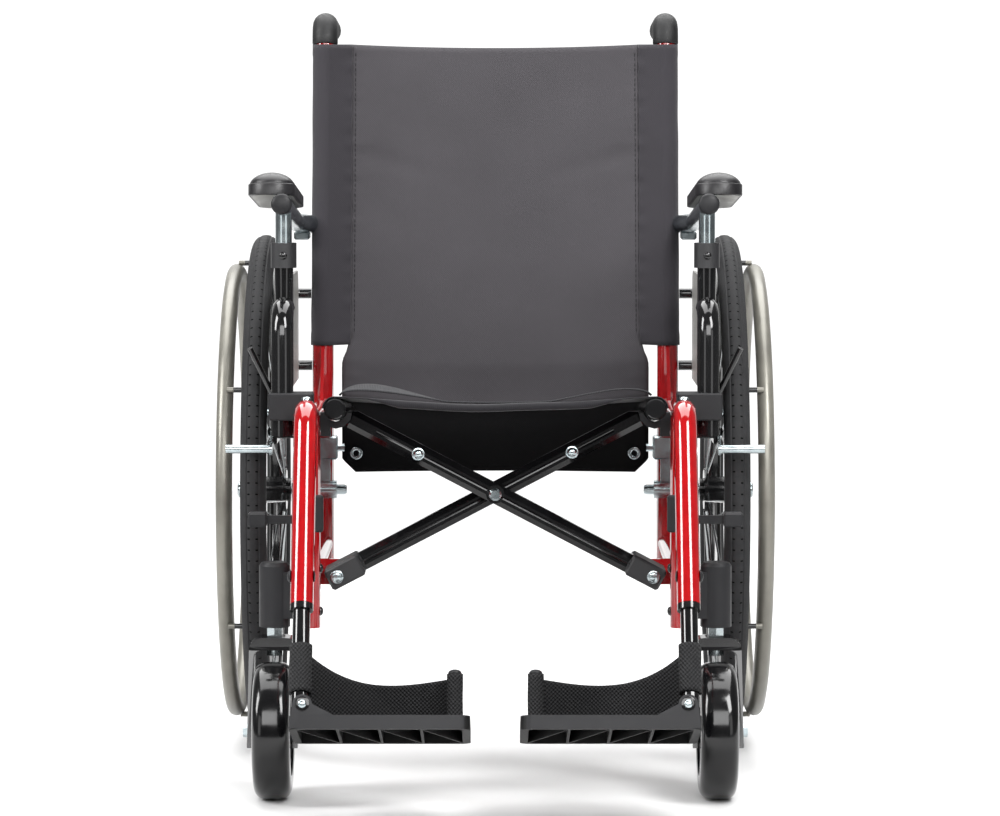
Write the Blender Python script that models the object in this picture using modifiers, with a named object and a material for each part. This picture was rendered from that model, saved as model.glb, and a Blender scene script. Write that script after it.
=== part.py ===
"""Folding manual wheelchair with a red tube frame, modelled piece by piece.

Metres. X runs across the chair, -Y is forward and Z is up from the floor.
Each piece is drawn for the +X side, with y = 0 on the rear axle, and mirrored for the other side.
"""
import math

import bmesh
import bpy
from mathutils import Matrix, Vector

# Clearances
GAP = 0.0003
RUNNING_GAP = 0.0003

# Side frames and canes
TUBE_R = 0.0127
FRAME_X = 0.207
REAR_Y = 0.024
FRONT_CLEAR = 0.075
CANE_FOOT_Z = 0.205
RECLINE_Z = 0.450
RECLINE_DEG = 12.8
CANE_TOP_Z = 0.842
UPPER_RAIL_Z = 0.402
UPPER_RAIL_R = 0.0122
LOWER_RAIL_Z = 0.238
LOWER_RAIL_R = 0.0112
FRONT_FOOT_Z = 0.186
FRONT_TOP_Z = 0.422

# Push grips
GRIP_R = 0.0155
GRIP_RISE = 0.020
GRIP_LENGTH = 0.118
GRIP_RIBS = 6

# Cross-brace and seat rails
RAIL_X = 0.1775
RAIL_Z = 0.424
RAIL_R = 0.0125
RAIL_OVERHANG = 0.020
RAIL_DROP_DEG = 4.8
RAIL_BACK_Y = 0.012
BRACE_FOOT_Z = 0.238
BRACE_DEPTH = 0.021
BRACE_HEIGHT = 0.0215
BRACE_SET = 0.048
BRACE_PITCH = 0.025
BRACE_PIN_R = 0.0045
BRACE_FOOT_R = 0.0135
BRACE_SOCKET_HALF = 0.0125
BRACE_SOCKET_END = 0.011
BRACE_SOCKET_REACH = 0.031
BRACE_SADDLE_WALL = 0.0045
BRACE_LUG_THICK = 0.005
PIVOT_BOLT_R = 0.004
PIVOT_BOSS_R = 0.0105

# Rear wheels
WHEEL_R = 0.305
WHEEL_X = 0.274
TYRE_R = 0.015
RIM_DEPTH = 0.0137
RIM_HALF = 0.0105
HUB_IN_X = 0.2445
HUB_OUT_X = 0.3035
HUB_R = 0.016
HUB_FLANGE_R = 0.027
SPOKE_COUNT = 24
SPOKE_R = 0.0012
SPOKE_LEAN_DEG = 32
AXLE_R = 0.006
AXLE_IN_X = 0.178
HANDRIM_X = 0.309
HANDRIM_INSET = 0.044
HANDRIM_TUBE_R = 0.0095
HANDRIM_STUDS = 6
HANDRIM_STUD_R = 0.0028
WHEEL_STEPS = 32

# Axle receivers
RECEIVER_R = 0.0108
RECEIVER_IN_X = 0.190
CLAMP_GAP = 0.0208
CLAMP_HEIGHT = 0.028

# Casters
CASTER_X = 0.2454
CASTER_R = 0.076
CASTER_HALF = 0.021
CASTER_TRAIL = 0.040
CASTER_CORE_R = 0.050
CASTER_STEPS = 20
CASTER_AXLE_R = 0.0042
HOUSING_R = 0.0174
HOUSING_LOW_Z = 0.187
HOUSING_HIGH_Z = 0.259
STEM_R = 0.0062
CROWN_LOW_Z = 0.162
CROWN_HIGH_Z = 0.176
FORK_INNER = 0.022
FORK_WALL = 0.006
FORK_DEPTH = 0.034
FORK_FOOT_Z = 0.060

# Swing-away hangers
HANGER_TOP_Z = 0.4313
HANGER_SET = 0.0295
HANGER_ARCH = 0.049
HANGER_BEND = 0.030
HANGER_SLOPE_DEG = 62
HANGER_END_Z = 0.233
HANGER_FOOT_Z = 0.296
SADDLE_LOW_Z = 0.300
SADDLE_HIGH_Z = 0.328
LATCH_Z = 0.311
LATCH_IN_X = 0.189
LATCH_OUT_X = 0.272

# Footrests
EXTENSION_R = 0.0095
FOOT_HINGE_X = 0.203
FOOT_HINGE_Z = 0.130
FOOT_TILT_DEG = 15
FOOT_INNER_X = 0.0265
FOOT_OUTER_X = 0.2175
FOOT_FRONT = 0.034
FOOT_REAR = 0.108
FOOT_TREAD = 0.0116
FOOT_SKIN = 0.003
FOOT_DROP = 0.0265
FOOT_CELLS = 4
HINGE_BARREL_R = 0.0085
HINGE_BARREL = 0.036
HINGE_PIN_R = 0.004
EAR_THICK = 0.015
EAR_R = 0.0105
EAR_REACH = 0.032
POST_X = 0.0435
POST_BACK = 0.072
POST_R = 0.006
POST_TOP = 0.0455
LOOP_THICK = 0.0025
LOOP_HEIGHT = 0.044
LOOP_LOW = 0.016
LOOP_HIGH = 0.070
LOOP_BULGE = 0.042
LOOP_DIP = 0.012

# Armrests and side panels
ARM_X = 0.238
ARM_SET = 0.035
ARM_POST_SET = 0.045
ARM_LEG_R = 0.0125
ARM_BAR_R = 0.006
ARM_BAR_OUT = 0.007
ARM_POST_R = 0.0093
ARM_SLEEVE_R = 0.0107
ARM_TUBE_R = 0.011
ARM_CLEAR = 0.0455
ARM_LEAST_Z = 0.640
ARM_DROP_DEG = 5
ARM_BAR_DROP = 0.1175
ARM_BAR_LOW_Z = 0.4525
ARM_FOOT_Z = 0.397
ARM_SLEEVE_DROP = 0.0725
COLLAR_R = 0.0145
COLLAR_HEIGHT = 0.028
POST_FOOT_Z = 0.470
PAD_X = 0.2507
PAD_WIDTH = 0.053
PAD_LENGTH = 0.254
PAD_THICK = 0.030
PAD_SET = 0.013
PANEL_THICK = 0.003
PANEL_LOW_Z = 0.438
PANEL_DROP = 0.0875
PANEL_SET = 0.014
PANEL_BACK_Y = 0.010
PANEL_CORNER = 0.045
SOCKET_WALL = 0.002
CRADLE_WALL = 0.005

# Wheel locks
LOCK_X = 0.2485
LOCK_THICK = 0.004
LOCK_ARM_X = 0.2525
LOCK_ARM_THICK = 0.0032
SHOE_CLEAR = 0.011
SHOE_Z = 0.3795
SHOE_PIVOT_BACK = 0.054
SHOE_PIVOT_Z = 0.395
LEVER_PIVOT_BACK = 0.031
LEVER_PIVOT_Z = 0.419
LOCK_EDGE = 0.012
LOCK_EYE_R = 0.009
LOCK_PIN_R = 0.004
SHOE_R = 0.005
SHOE_END_X = 0.303
LEVER_TOP_X = 0.2757
LEVER_TOP_BACK = 0.004
LEVER_TOP_Z = 0.493

# Upholstery
CLOTH = 0.0014
BACK_SAG = 0.020
BACK_LOW_Z = 0.477
BACK_INSET = 0.004
FLAP_LOW_Z = 0.322
FLAP_HALF = 0.185
SEAT_SAG = 0.012
SEAT_SET = 0.004
SEAT_BACK_Y = 0.008
STRAP_WIDTH = 0.024
STRAP_HALF = 0.150
STRAP_SET = 0.024

# Worked out from the sizes above
RECLINE = math.radians(RECLINE_DEG)
SLOPE = math.radians(HANGER_SLOPE_DEG)
TILT = math.radians(FOOT_TILT_DEG)
RAIL_DROP = math.radians(RAIL_DROP_DEG)
FRONT_Y = -(WHEEL_R + FRONT_CLEAR)
RAIL_FRONT_Y = FRONT_Y - RAIL_OVERHANG
BRACE_FRONT_Y = FRONT_Y + BRACE_SET
BRACE_BACK_Y = BRACE_FRONT_Y + BRACE_PITCH
RAIL_LEVEL_Y = (BRACE_FRONT_Y + BRACE_BACK_Y) / 2
HANGER_POST_Y = FRONT_Y - HANGER_SET
ARM_LEG_Y = FRONT_Y + ARM_SET
ARM_POST_Y = ARM_LEG_Y + ARM_POST_SET
ARM_BAR_X = ARM_X + ARM_BAR_OUT
ARM_TOP_Z = max(2 * WHEEL_R + ARM_CLEAR, ARM_LEAST_Z)
ARM_BAR_HIGH_Z = ARM_TOP_Z - ARM_BAR_DROP
ARM_SLEEVE_TOP_Z = ARM_TOP_Z - ARM_SLEEVE_DROP
PAD_FRONT_Y = ARM_LEG_Y + PAD_SET
PANEL_X = ARM_BAR_X - ARM_BAR_R - GAP - PANEL_THICK / 2
PANEL_HIGH_Z = ARM_TOP_Z - PANEL_DROP
PANEL_FRONT_Y = ARM_POST_Y + PANEL_SET
SEAT_FRONT_Y = RAIL_FRONT_Y + SEAT_SET
STRAP_Y = SEAT_FRONT_Y + STRAP_SET
GRIP_Z = CANE_TOP_Z + GRIP_RISE
BACK_TOP_Z = CANE_TOP_Z - BACK_INSET
HANDRIM_R = WHEEL_R - HANDRIM_INSET
CLAMP_HIGH_Z = UPPER_RAIL_Z - UPPER_RAIL_R - CLAMP_GAP
CLAMP_LOW_Z = CLAMP_HIGH_Z - CLAMP_HEIGHT
SHOE_AT = (-(WHEEL_R + SHOE_CLEAR), SHOE_Z)
SHOE_PIVOT = (SHOE_AT[0] + SHOE_PIVOT_BACK, SHOE_PIVOT_Z)
LEVER_PIVOT = (SHOE_AT[0] + LEVER_PIVOT_BACK, LEVER_PIVOT_Z)
LEVER_TOP = (LEVER_TOP_X, SHOE_AT[0] + LEVER_TOP_BACK, LEVER_TOP_Z)
HANGER_END_Y = HANGER_POST_Y - HANGER_ARCH - (HANGER_TOP_Z - HANGER_END_Z) / math.tan(SLOPE)
FOOT_HINGE_Y = HANGER_END_Y - (HANGER_END_Z - FOOT_HINGE_Z) / math.tan(SLOPE)
FOOT_REACH = -FOOT_HINGE_Y + FOOT_FRONT * math.cos(TILT) + FOOT_DROP * math.sin(TILT)
AXLE_Y = (FOOT_REACH - WHEEL_R) / 2
CASTER_AXLE_Y = FRONT_Y - CASTER_TRAIL
BRACE_ANGLE = math.atan2((RAIL_Z - BRACE_FOOT_Z) / 2, RAIL_X)
CENTRE_Z = (RAIL_Z + BRACE_FOOT_Z) / 2
RIM_OUT_R = WHEEL_R - 2 * TYRE_R - GAP
RIM_IN_R = RIM_OUT_R - RIM_DEPTH
SLEEVE_OUT_R = TUBE_R + GAP + CLOTH


def cane_y(z):
    return REAR_Y + max(0.0, z - RECLINE_Z) * math.tan(RECLINE)


def rail_z(y):
    return RAIL_Z - (y - RAIL_LEVEL_Y) * math.tan(RAIL_DROP)


def arm_z(y):
    return ARM_TOP_Z - (y - ARM_LEG_Y) * math.tan(math.radians(ARM_DROP_DEG))


def clear_scene():
    for thing in list(bpy.data.objects):
        bpy.data.objects.remove(thing, do_unlink=True)


def new_collection(name):
    group = bpy.data.collections.new(name)
    bpy.context.scene.collection.children.link(group)
    return group


clear_scene()
PARTS = new_collection("manual_wheelchair")
SHAPES = new_collection("wheelchair_cutters")
ROOT = bpy.data.objects.new("rear_axle_line", None)
ROOT.location = (0, AXLE_Y, 0)
PARTS.objects.link(ROOT)


def finish(name, colour, roughness, metallic):
    made = bpy.data.materials.new(name)
    made.use_nodes = True
    shader = made.node_tree.nodes["Principled BSDF"]
    shader.inputs["Base Color"].default_value = (*colour, 1)
    shader.inputs["Roughness"].default_value = roughness
    shader.inputs["Metallic"].default_value = metallic
    return made


RED = finish("candy_red_paint", (0.62, 0.005, 0.01), 0.22, 0.3)
BLACK = finish("gloss_black_paint", (0.012, 0.012, 0.014), 0.25, 0.0)
PLASTIC = finish("grey_moulded_plastic", (0.055, 0.055, 0.06), 0.5, 0.0)
RUBBER = finish("tyre_rubber", (0.03, 0.03, 0.03), 0.75, 0.0)
GRIP = finish("grip_rubber", (0.02, 0.02, 0.02), 0.8, 0.0)
URETHANE = finish("caster_urethane", (0.01, 0.01, 0.012), 0.15, 0.0)
CHROME = finish("zinc_chrome", (0.75, 0.78, 0.78), 0.18, 1.0)
TITANIUM = finish("satin_titanium", (0.3, 0.29, 0.27), 0.4, 1.0)
FABRIC = finish("charcoal_nylon", (0.025, 0.025, 0.028), 0.85, 0.0)
WEBBING = finish("black_webbing", (0.015, 0.015, 0.016), 0.9, 0.0)
STRAP = finish("grey_strap", (0.08, 0.08, 0.085), 0.85, 0.0)
VINYL = finish("pad_vinyl", (0.06, 0.058, 0.055), 0.45, 0.0)
PANEL = finish("pale_panel_plastic", (0.6, 0.59, 0.57), 0.45, 0.0)


def solid(mesh, name="shape"):
    """A working solid with merged seams and outward faces."""
    cleaner = bmesh.new()
    cleaner.from_mesh(mesh)
    bmesh.ops.remove_doubles(cleaner, verts=cleaner.verts, dist=1e-6)
    bmesh.ops.recalc_face_normals(cleaner, faces=cleaner.faces)
    cleaner.to_mesh(mesh)
    cleaner.free()
    made = bpy.data.objects.new(name, mesh)
    made.hide_render = True
    made.display_type = "WIRE"
    SHAPES.objects.link(made)
    return made


def baked(thing):
    """The evaluated mesh of a curve or of an object with modifiers, as a plain solid."""
    bpy.context.view_layer.update()
    graph = bpy.context.evaluated_depsgraph_get()
    mesh = bpy.data.meshes.new_from_object(thing.evaluated_get(graph))
    mesh.transform(thing.matrix_world)
    bpy.data.objects.remove(thing, do_unlink=True)
    return solid(mesh)


def boolean(base, others, operation):
    group = new_collection("operands")
    for other in others:
        SHAPES.objects.unlink(other)
        group.objects.link(other)
    step = base.modifiers.new(operation.lower(), "BOOLEAN")
    step.operation = operation
    step.solver = "EXACT"
    step.operand_type = "COLLECTION"
    step.collection = group
    result = baked(base)
    for other in others:
        bpy.data.objects.remove(other, do_unlink=True)
    bpy.data.collections.remove(group)
    return result


def fused(base, *others):
    return boolean(base, others, "UNION")


def cut(base, *cutters):
    return boolean(base, cutters, "DIFFERENCE")


def box(low, high, bevel=0.0):
    low = Vector(low)
    high = Vector(high)
    shape = bmesh.new()
    size = Matrix.Diagonal((*(high - low), 1))
    bmesh.ops.create_cube(shape, size=1, matrix=Matrix.Translation((low + high) / 2) @ size)
    if bevel:
        bmesh.ops.bevel(shape, geom=shape.edges[:], offset=bevel, segments=1, profile=0.5, affect="EDGES")
    mesh = bpy.data.meshes.new("box")
    shape.to_mesh(mesh)
    shape.free()
    return solid(mesh)


def rod(start, end, radius, sides=12, end_radius=None):
    """A straight round bar, or a taper, from one point to another."""
    start = Vector(start)
    end = Vector(end)
    axis = end - start
    place = Matrix.Translation((start + end) / 2) @ axis.to_track_quat("Z", "Y").to_matrix().to_4x4()
    shape = bmesh.new()
    bmesh.ops.create_cone(shape, cap_ends=True, segments=sides, radius1=radius,
                          radius2=end_radius or radius, depth=axis.length, matrix=place)
    mesh = bpy.data.meshes.new("rod")
    shape.to_mesh(mesh)
    shape.free()
    return solid(mesh)


def bent_path(points, bend, step_deg=23):
    """The points with every inner corner turned into an arc of the bend radius."""
    points = [Vector(p) for p in points]
    path = [points[0]]
    for before, corner, after in zip(points, points[1:], points[2:]):
        back = (before - corner).normalized()
        ahead = (after - corner).normalized()
        turn = math.pi - back.angle(ahead)
        reach = bend * math.tan(turn / 2)
        centre = corner + (back + ahead).normalized() * (bend / math.cos(turn / 2))
        steps = max(2, round(math.degrees(turn) / step_deg))
        first = corner + back * reach - centre
        axis = (-back).cross(ahead)
        for i in range(steps + 1):
            path.append(centre + Matrix.Rotation(turn * i / steps, 3, axis) @ first)
    path.append(points[-1])
    return path


def tube(path, radius, sides=12, swell=None):
    """A round bar along a path. swell gives the radius share at each point."""
    data = bpy.data.curves.new("tube", "CURVE")
    data.dimensions = "3D"
    data.bevel_depth = radius
    data.bevel_resolution = (sides - 4) // 2
    data.use_fill_caps = True
    line = data.splines.new("POLY")
    line.points.add(len(path) - 1)
    for i, point in enumerate(path):
        line.points[i].co = (*point, 1)
        line.points[i].radius = swell[i] if swell else 1
    thing = bpy.data.objects.new("tube", data)
    SHAPES.objects.link(thing)
    return baked(thing)


def plate(outlines, thickness, place):
    """Flat outlines in a plane, the later ones holes, thickened both ways and placed by a matrix."""
    data = bpy.data.curves.new("plate", "CURVE")
    data.dimensions = "2D"
    data.fill_mode = "BOTH"
    data.extrude = thickness / 2
    for outline in outlines:
        line = data.splines.new("POLY")
        line.points.add(len(outline) - 1)
        line.use_cyclic_u = True
        for i, point in enumerate(outline):
            line.points[i].co = (point[0], point[1], 0, 1)
    thing = bpy.data.objects.new("plate", data)
    thing.matrix_world = place
    SHAPES.objects.link(thing)
    return baked(thing)


def across(x):
    """A plane facing along X at the given x: its outline reads (y, z)."""
    return Matrix(((0, 0, 1, x), (1, 0, 0, 0), (0, 1, 0, 0), (0, 0, 0, 1)))


def facing(y):
    """A plane facing along Y at the given y: its outline reads (x, z)."""
    return Matrix(((1, 0, 0, 0), (0, 0, -1, y), (0, 1, 0, 0), (0, 0, 0, 1)))


def arc(centre, radius, start_deg, end_deg, steps):
    turns = [math.radians(start_deg + (end_deg - start_deg) * i / steps) for i in range(steps + 1)]
    return [(centre[0] + radius * math.cos(a), centre[1] + radius * math.sin(a)) for a in turns]


def turned(profile, steps, centre, axis="X", flats=False):
    """A closed (along, radius) profile turned about an axis; flats keeps a facet under the axle."""
    grow = 1 / math.cos(math.pi / steps) if flats else 1
    mesh = bpy.data.meshes.new("turned")
    points = [(radius * grow, 0, along) for along, radius in profile]
    sides = [(i, (i + 1) % len(points)) for i in range(len(points))]
    mesh.from_pydata(points, sides, [])
    thing = bpy.data.objects.new("turned", mesh)
    SHAPES.objects.link(thing)
    screw = thing.modifiers.new("turn", "SCREW")
    screw.steps = steps
    screw.render_steps = steps
    screw.use_merge_vertices = True
    screw.merge_threshold = 1e-6
    half_step = Matrix.Rotation(math.pi / steps, 4, "Z")
    lay = Matrix.Rotation(math.pi / 2, 4, "Y") if axis == "X" else Matrix.Identity(4)
    thing.matrix_world = Matrix.Translation(centre) @ lay @ half_step
    return baked(thing)


def ring_profile(middle, radius, tube_r, steps):
    return [(middle + tube_r * math.cos(2 * math.pi * i / steps),
             radius + tube_r * math.sin(2 * math.pi * i / steps)) for i in range(steps)]


def settle(name, thing, look, pivot):
    """Give a finished solid its name, look, origin and place on the chair."""
    thing.data.transform(Matrix.Translation(-Vector(pivot)))
    thing.name = name
    thing.data.name = name
    thing.data.materials.clear()
    thing.data.materials.append(look)
    thing.data.shade_smooth()
    thing.data.set_sharp_from_angle(angle=math.radians(32))
    thing.hide_render = False
    thing.display_type = "TEXTURED"
    SHAPES.objects.unlink(thing)
    PARTS.objects.link(thing)
    thing.parent = ROOT
    thing.location = pivot
    return thing


def single(name, thing, look, pivot=(0, 0, 0)):
    return settle(name, thing, look, pivot)


def pair(name, thing, look, pivot=(0, 0, 0)):
    """The piece on its own side, and its mirror image on the other."""
    mesh = thing.data.copy()
    mesh.transform(Matrix.Diagonal((-1, 1, 1, 1)))
    mesh.flip_normals()
    other = solid(mesh)
    settle("right_" + name, thing, look, pivot)
    settle("left_" + name, other, look, (-pivot[0], pivot[1], pivot[2]))


def bore(start, end, radius):
    """A cutter whose flats, not its corners, lie on the radius, so a round bar passes through."""
    return rod(start, end, radius / math.cos(math.pi / 12), 12)


def upright_hole(x, y, radius, low, high):
    return bore((x, y, low), (x, y, high), radius)


def side_frame():
    cane = tube(bent_path([(FRAME_X, REAR_Y, CANE_FOOT_Z), (FRAME_X, REAR_Y, RECLINE_Z),
                           (FRAME_X, cane_y(CANE_TOP_Z), CANE_TOP_Z)], 0.08, 6), TUBE_R)
    front = rod((FRAME_X, FRONT_Y, FRONT_FOOT_Z), (FRAME_X, FRONT_Y, FRONT_TOP_Z), TUBE_R)
    upper = rod((FRAME_X, REAR_Y, UPPER_RAIL_Z), (FRAME_X, FRONT_Y, UPPER_RAIL_Z), UPPER_RAIL_R)
    lower = rod((FRAME_X, REAR_Y, LOWER_RAIL_Z), (FRAME_X, FRONT_Y, LOWER_RAIL_Z), LOWER_RAIL_R)
    heel = REAR_Y - TUBE_R / 2
    gusset = plate([[(heel, UPPER_RAIL_Z), (heel - 0.060, UPPER_RAIL_Z), (heel, UPPER_RAIL_Z + 0.075)]],
                   0.004, across(FRAME_X))
    lug_y = BRACE_BACK_Y + BRACE_DEPTH / 2 + 0.007 + GAP + BRACE_LUG_THICK / 2
    lug_r = BRACE_FOOT_R + 0.001
    outline = arc((RAIL_X, BRACE_FOOT_Z), lug_r, 90, 270, 8)
    outline += [(FRAME_X, BRACE_FOOT_Z - lug_r), (FRAME_X, BRACE_FOOT_Z + lug_r)]
    lug = plate([outline], BRACE_LUG_THICK, facing(lug_y))
    pin_end = BRACE_FRONT_Y - BRACE_DEPTH / 2 - 0.0025
    pin = rod((RAIL_X, lug_y, BRACE_FOOT_Z), (RAIL_X, pin_end, BRACE_FOOT_Z), BRACE_PIN_R, 12)
    pair("side_frame", fused(cane, front, upper, lower, gusset, lug, pin), RED)


def push_grip():
    along = Vector((0, math.sin(RECLINE), math.cos(RECLINE)))
    foot = Vector((FRAME_X, cane_y(CANE_TOP_Z), CANE_TOP_Z)) + along * GAP
    corner = foot + along * ((GRIP_Z - foot.z) / along.z)
    end = corner + Vector((0, GRIP_LENGTH, -0.006))
    bend = bent_path([foot, corner, end], 0.018, 15)
    pitch = (end - bend[-2]) / (2 * GRIP_RIBS)
    ribs = [bend[-2] + pitch * i for i in range(1, 2 * GRIP_RIBS)]
    path = bend[:-1] + ribs + [end]
    swell = [1] * (len(bend) - 1) + [0.9 if i % 2 else 1 for i in range(len(ribs))] + [0.75]
    pair("push_grip", tube(path, GRIP_R, 8, swell), GRIP)


def axle_receiver():
    sleeve = rod((RECEIVER_IN_X, 0, WHEEL_R), (HUB_IN_X - 0.0008, 0, WHEEL_R), RECEIVER_R)
    web_back = REAR_Y - TUBE_R - 0.001
    web = box((FRAME_X - 0.009, -0.003, WHEEL_R + 0.001), (FRAME_X + 0.009, web_back, CLAMP_LOW_Z + 0.006))
    clamp = box((FRAME_X - 0.018, -0.004, CLAMP_LOW_Z), (FRAME_X + 0.017, REAR_Y, CLAMP_HIGH_Z), 0.002)
    mid_z = (CLAMP_LOW_Z + CLAMP_HIGH_Z) / 2
    bolt = rod((FRAME_X - 0.026, 0.003, mid_z), (FRAME_X, 0.003, mid_z), 0.0045, 6)
    hole = bore((0.15, 0, WHEEL_R), (0.26, 0, WHEEL_R), AXLE_R + RUNNING_GAP)
    tube_hole = upright_hole(FRAME_X, REAR_Y, TUBE_R + GAP, CLAMP_LOW_Z - 0.01, CLAMP_HIGH_Z + 0.01)
    pair("axle_receiver", cut(fused(sleeve, web, clamp, bolt), hole, tube_hole), CHROME)


def rear_wheel():
    centre = (0, 0, WHEEL_R)
    tyre = turned(ring_profile(WHEEL_X, WHEEL_R - TYRE_R, TYRE_R, 8), WHEEL_STEPS, centre, flats=True)
    pair("rear_tyre", tyre, RUBBER, (WHEEL_X, 0, WHEEL_R))
    shoulder = RIM_OUT_R - 0.0062
    profile = [(-RIM_HALF, RIM_OUT_R), (RIM_HALF, RIM_OUT_R), (RIM_HALF, shoulder),
               (0.006, RIM_IN_R), (-0.006, RIM_IN_R), (-RIM_HALF, shoulder)]
    profile = [(WHEEL_X + along, radius) for along, radius in profile]
    pair("rear_rim", turned(profile, WHEEL_STEPS, centre, flats=True), BLACK, (WHEEL_X, 0, WHEEL_R))

    bore_r = AXLE_R + RUNNING_GAP
    flange = (HUB_IN_X + 0.0075, HUB_OUT_X - 0.0075)
    half = 0.002
    profile = [(HUB_IN_X, bore_r), (HUB_IN_X, 0.014), (flange[0] - half, 0.014),
               (flange[0] - half, HUB_FLANGE_R), (flange[0] + half, HUB_FLANGE_R), (flange[0] + half, HUB_R),
               (flange[1] - half, HUB_R), (flange[1] - half, HUB_FLANGE_R), (flange[1] + half, HUB_FLANGE_R),
               (flange[1] + half, 0.018), (HUB_OUT_X, 0.018), (HUB_OUT_X, bore_r)]
    hub = turned(profile, 12, centre)
    spokes = []
    for i in range(SPOKE_COUNT):
        start = 2 * math.pi * i / SPOKE_COUNT
        lean = 1 if i % 4 < 2 else -1
        end = start + lean * math.radians(SPOKE_LEAN_DEG)
        hub_r = HUB_FLANGE_R - 0.0035
        rim_r = RIM_IN_R - 2 * GAP
        from_x = flange[i % 2] + lean * 0.0014
        to_x = WHEEL_X + (0.003 if i % 2 else -0.003)
        spokes.append(rod((from_x, hub_r * math.cos(start), WHEEL_R + hub_r * math.sin(start)),
                          (to_x, rim_r * math.cos(end), WHEEL_R + rim_r * math.sin(end)), SPOKE_R, 4))
    pair("rear_hub", fused(hub, *spokes), BLACK, (WHEEL_X, 0, WHEEL_R))

    hoop = turned(ring_profile(HANDRIM_X, HANDRIM_R, HANDRIM_TUBE_R, 8), WHEEL_STEPS, centre)
    stud_r = RIM_OUT_R - 0.0032
    studs = []
    for i in range(HANDRIM_STUDS):
        turn = 2 * math.pi * (i + 0.5) / HANDRIM_STUDS
        spot = (stud_r * math.cos(turn), WHEEL_R + stud_r * math.sin(turn))
        studs.append(rod((WHEEL_X + RIM_HALF + GAP, *spot), (HANDRIM_X, *spot), HANDRIM_STUD_R, 6))
    pair("handrim", fused(hoop, *studs), TITANIUM, (WHEEL_X, 0, WHEEL_R))

    cap = HUB_OUT_X + GAP
    profile = [(AXLE_IN_X, 0), (AXLE_IN_X, 0.0045), (AXLE_IN_X + 0.003, AXLE_R), (cap, AXLE_R),
               (cap, 0.0095), (cap + 0.0035, 0.0095), (cap + 0.005, 0.007), (cap + 0.005, 0)]
    pair("quick_release_axle", turned(profile, 12, centre), CHROME)


def caster():
    stem = (CASTER_X, FRONT_Y)
    barrel = rod((*stem, HOUSING_LOW_Z), (*stem, HOUSING_HIGH_Z - 0.004), HOUSING_R, 12)
    cap = rod((*stem, HOUSING_HIGH_Z - 0.004), (*stem, HOUSING_HIGH_Z), HOUSING_R, 12, HOUSING_R - 0.003)
    saddle = box((FRAME_X + LOWER_RAIL_R + 2 * GAP, FRONT_Y - 0.0135, HOUSING_LOW_Z + 0.010),
                 (CASTER_X - 0.004, FRONT_Y + 0.0135, HOUSING_HIGH_Z - 0.010))
    well = bore((*stem, HOUSING_LOW_Z - 0.01), (*stem, HOUSING_HIGH_Z - 0.010), STEM_R + RUNNING_GAP)
    hole = upright_hole(FRAME_X, FRONT_Y, TUBE_R + GAP, HOUSING_LOW_Z - 0.01, HOUSING_HIGH_Z + 0.01)
    pair("caster_housing", cut(fused(barrel, cap, saddle), well, hole), PLASTIC)

    outer = FORK_INNER + FORK_WALL
    bend = 0.014
    outline = [(-outer, FORK_FOOT_Z)]
    outline += arc((-outer + bend, CROWN_HIGH_Z - bend), bend, 180, 90, 5)
    outline += arc((outer - bend, CROWN_HIGH_Z - bend), bend, 90, 0, 5)
    outline += [(outer, FORK_FOOT_Z), (FORK_INNER, FORK_FOOT_Z)]
    inner_bend = bend - FORK_WALL
    outline += arc((FORK_INNER - inner_bend, CROWN_LOW_Z - inner_bend), inner_bend, 0, 90, 4)
    outline += arc((-FORK_INNER + inner_bend, CROWN_LOW_Z - inner_bend), inner_bend, 90, 180, 4)
    outline += [(-FORK_INNER, FORK_FOOT_Z)]
    legs = plate([outline], FORK_DEPTH, Matrix.Translation((CASTER_X, FRONT_Y, 0)) @ facing(0))
    rake = CASTER_TRAIL / (CROWN_LOW_Z - CASTER_R)
    for vertex in legs.data.vertices:
        vertex.co.y -= rake * max(0.0, CROWN_LOW_Z - vertex.co.z)
    stud = rod((*stem, CROWN_LOW_Z + 0.004), (*stem, HOUSING_HIGH_Z - 0.012), STEM_R)
    nut = rod((*stem, CROWN_HIGH_Z - 0.001), (*stem, HOUSING_LOW_Z - 0.001), 0.0095, 6)
    lock_nut = rod((*stem, CROWN_LOW_Z - 0.007), (*stem, CROWN_LOW_Z + 0.001), 0.0100, 6)
    axle = (CASTER_AXLE_Y, CASTER_R)
    hole = bore((CASTER_X - 0.05, *axle), (CASTER_X + 0.05, *axle), CASTER_AXLE_R + GAP)
    pair("caster_fork", cut(fused(legs, stud, nut, lock_nut), hole), BLACK, (*stem, CROWN_HIGH_Z))

    centre = (CASTER_X, *axle)
    side = CASTER_CORE_R + 0.012
    half = [(-CASTER_HALF, CASTER_CORE_R), (-CASTER_HALF, side), (-0.0165, CASTER_R - 0.0042),
            (-0.0065, CASTER_R)]
    profile = half + [(-along, radius) for along, radius in reversed(half)]
    pair("caster_tyre", turned(profile, CASTER_STEPS, centre, flats=True), URETHANE, centre)
    bore_r = CASTER_AXLE_R + RUNNING_GAP
    core = CASTER_CORE_R - GAP
    half = [(-0.0205, bore_r), (-0.0205, 0.012), (-0.011, core - 0.006), (-0.018, core)]
    profile = half + [(-along, radius) for along, radius in reversed(half)]
    pair("caster_hub", turned(profile, CASTER_STEPS, centre, flats=True), PLASTIC, centre)
    reach = outer + GAP
    shank = rod((CASTER_X - reach - 0.002, *axle), (CASTER_X + reach + 0.002, *axle), CASTER_AXLE_R)
    heads = [rod((CASTER_X + side * reach, *axle), (CASTER_X + side * (reach + 0.005), *axle), 0.0075, 6)
             for side in (-1, 1)]
    pair("caster_axle", fused(shank, *heads), CHROME, centre)


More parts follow.
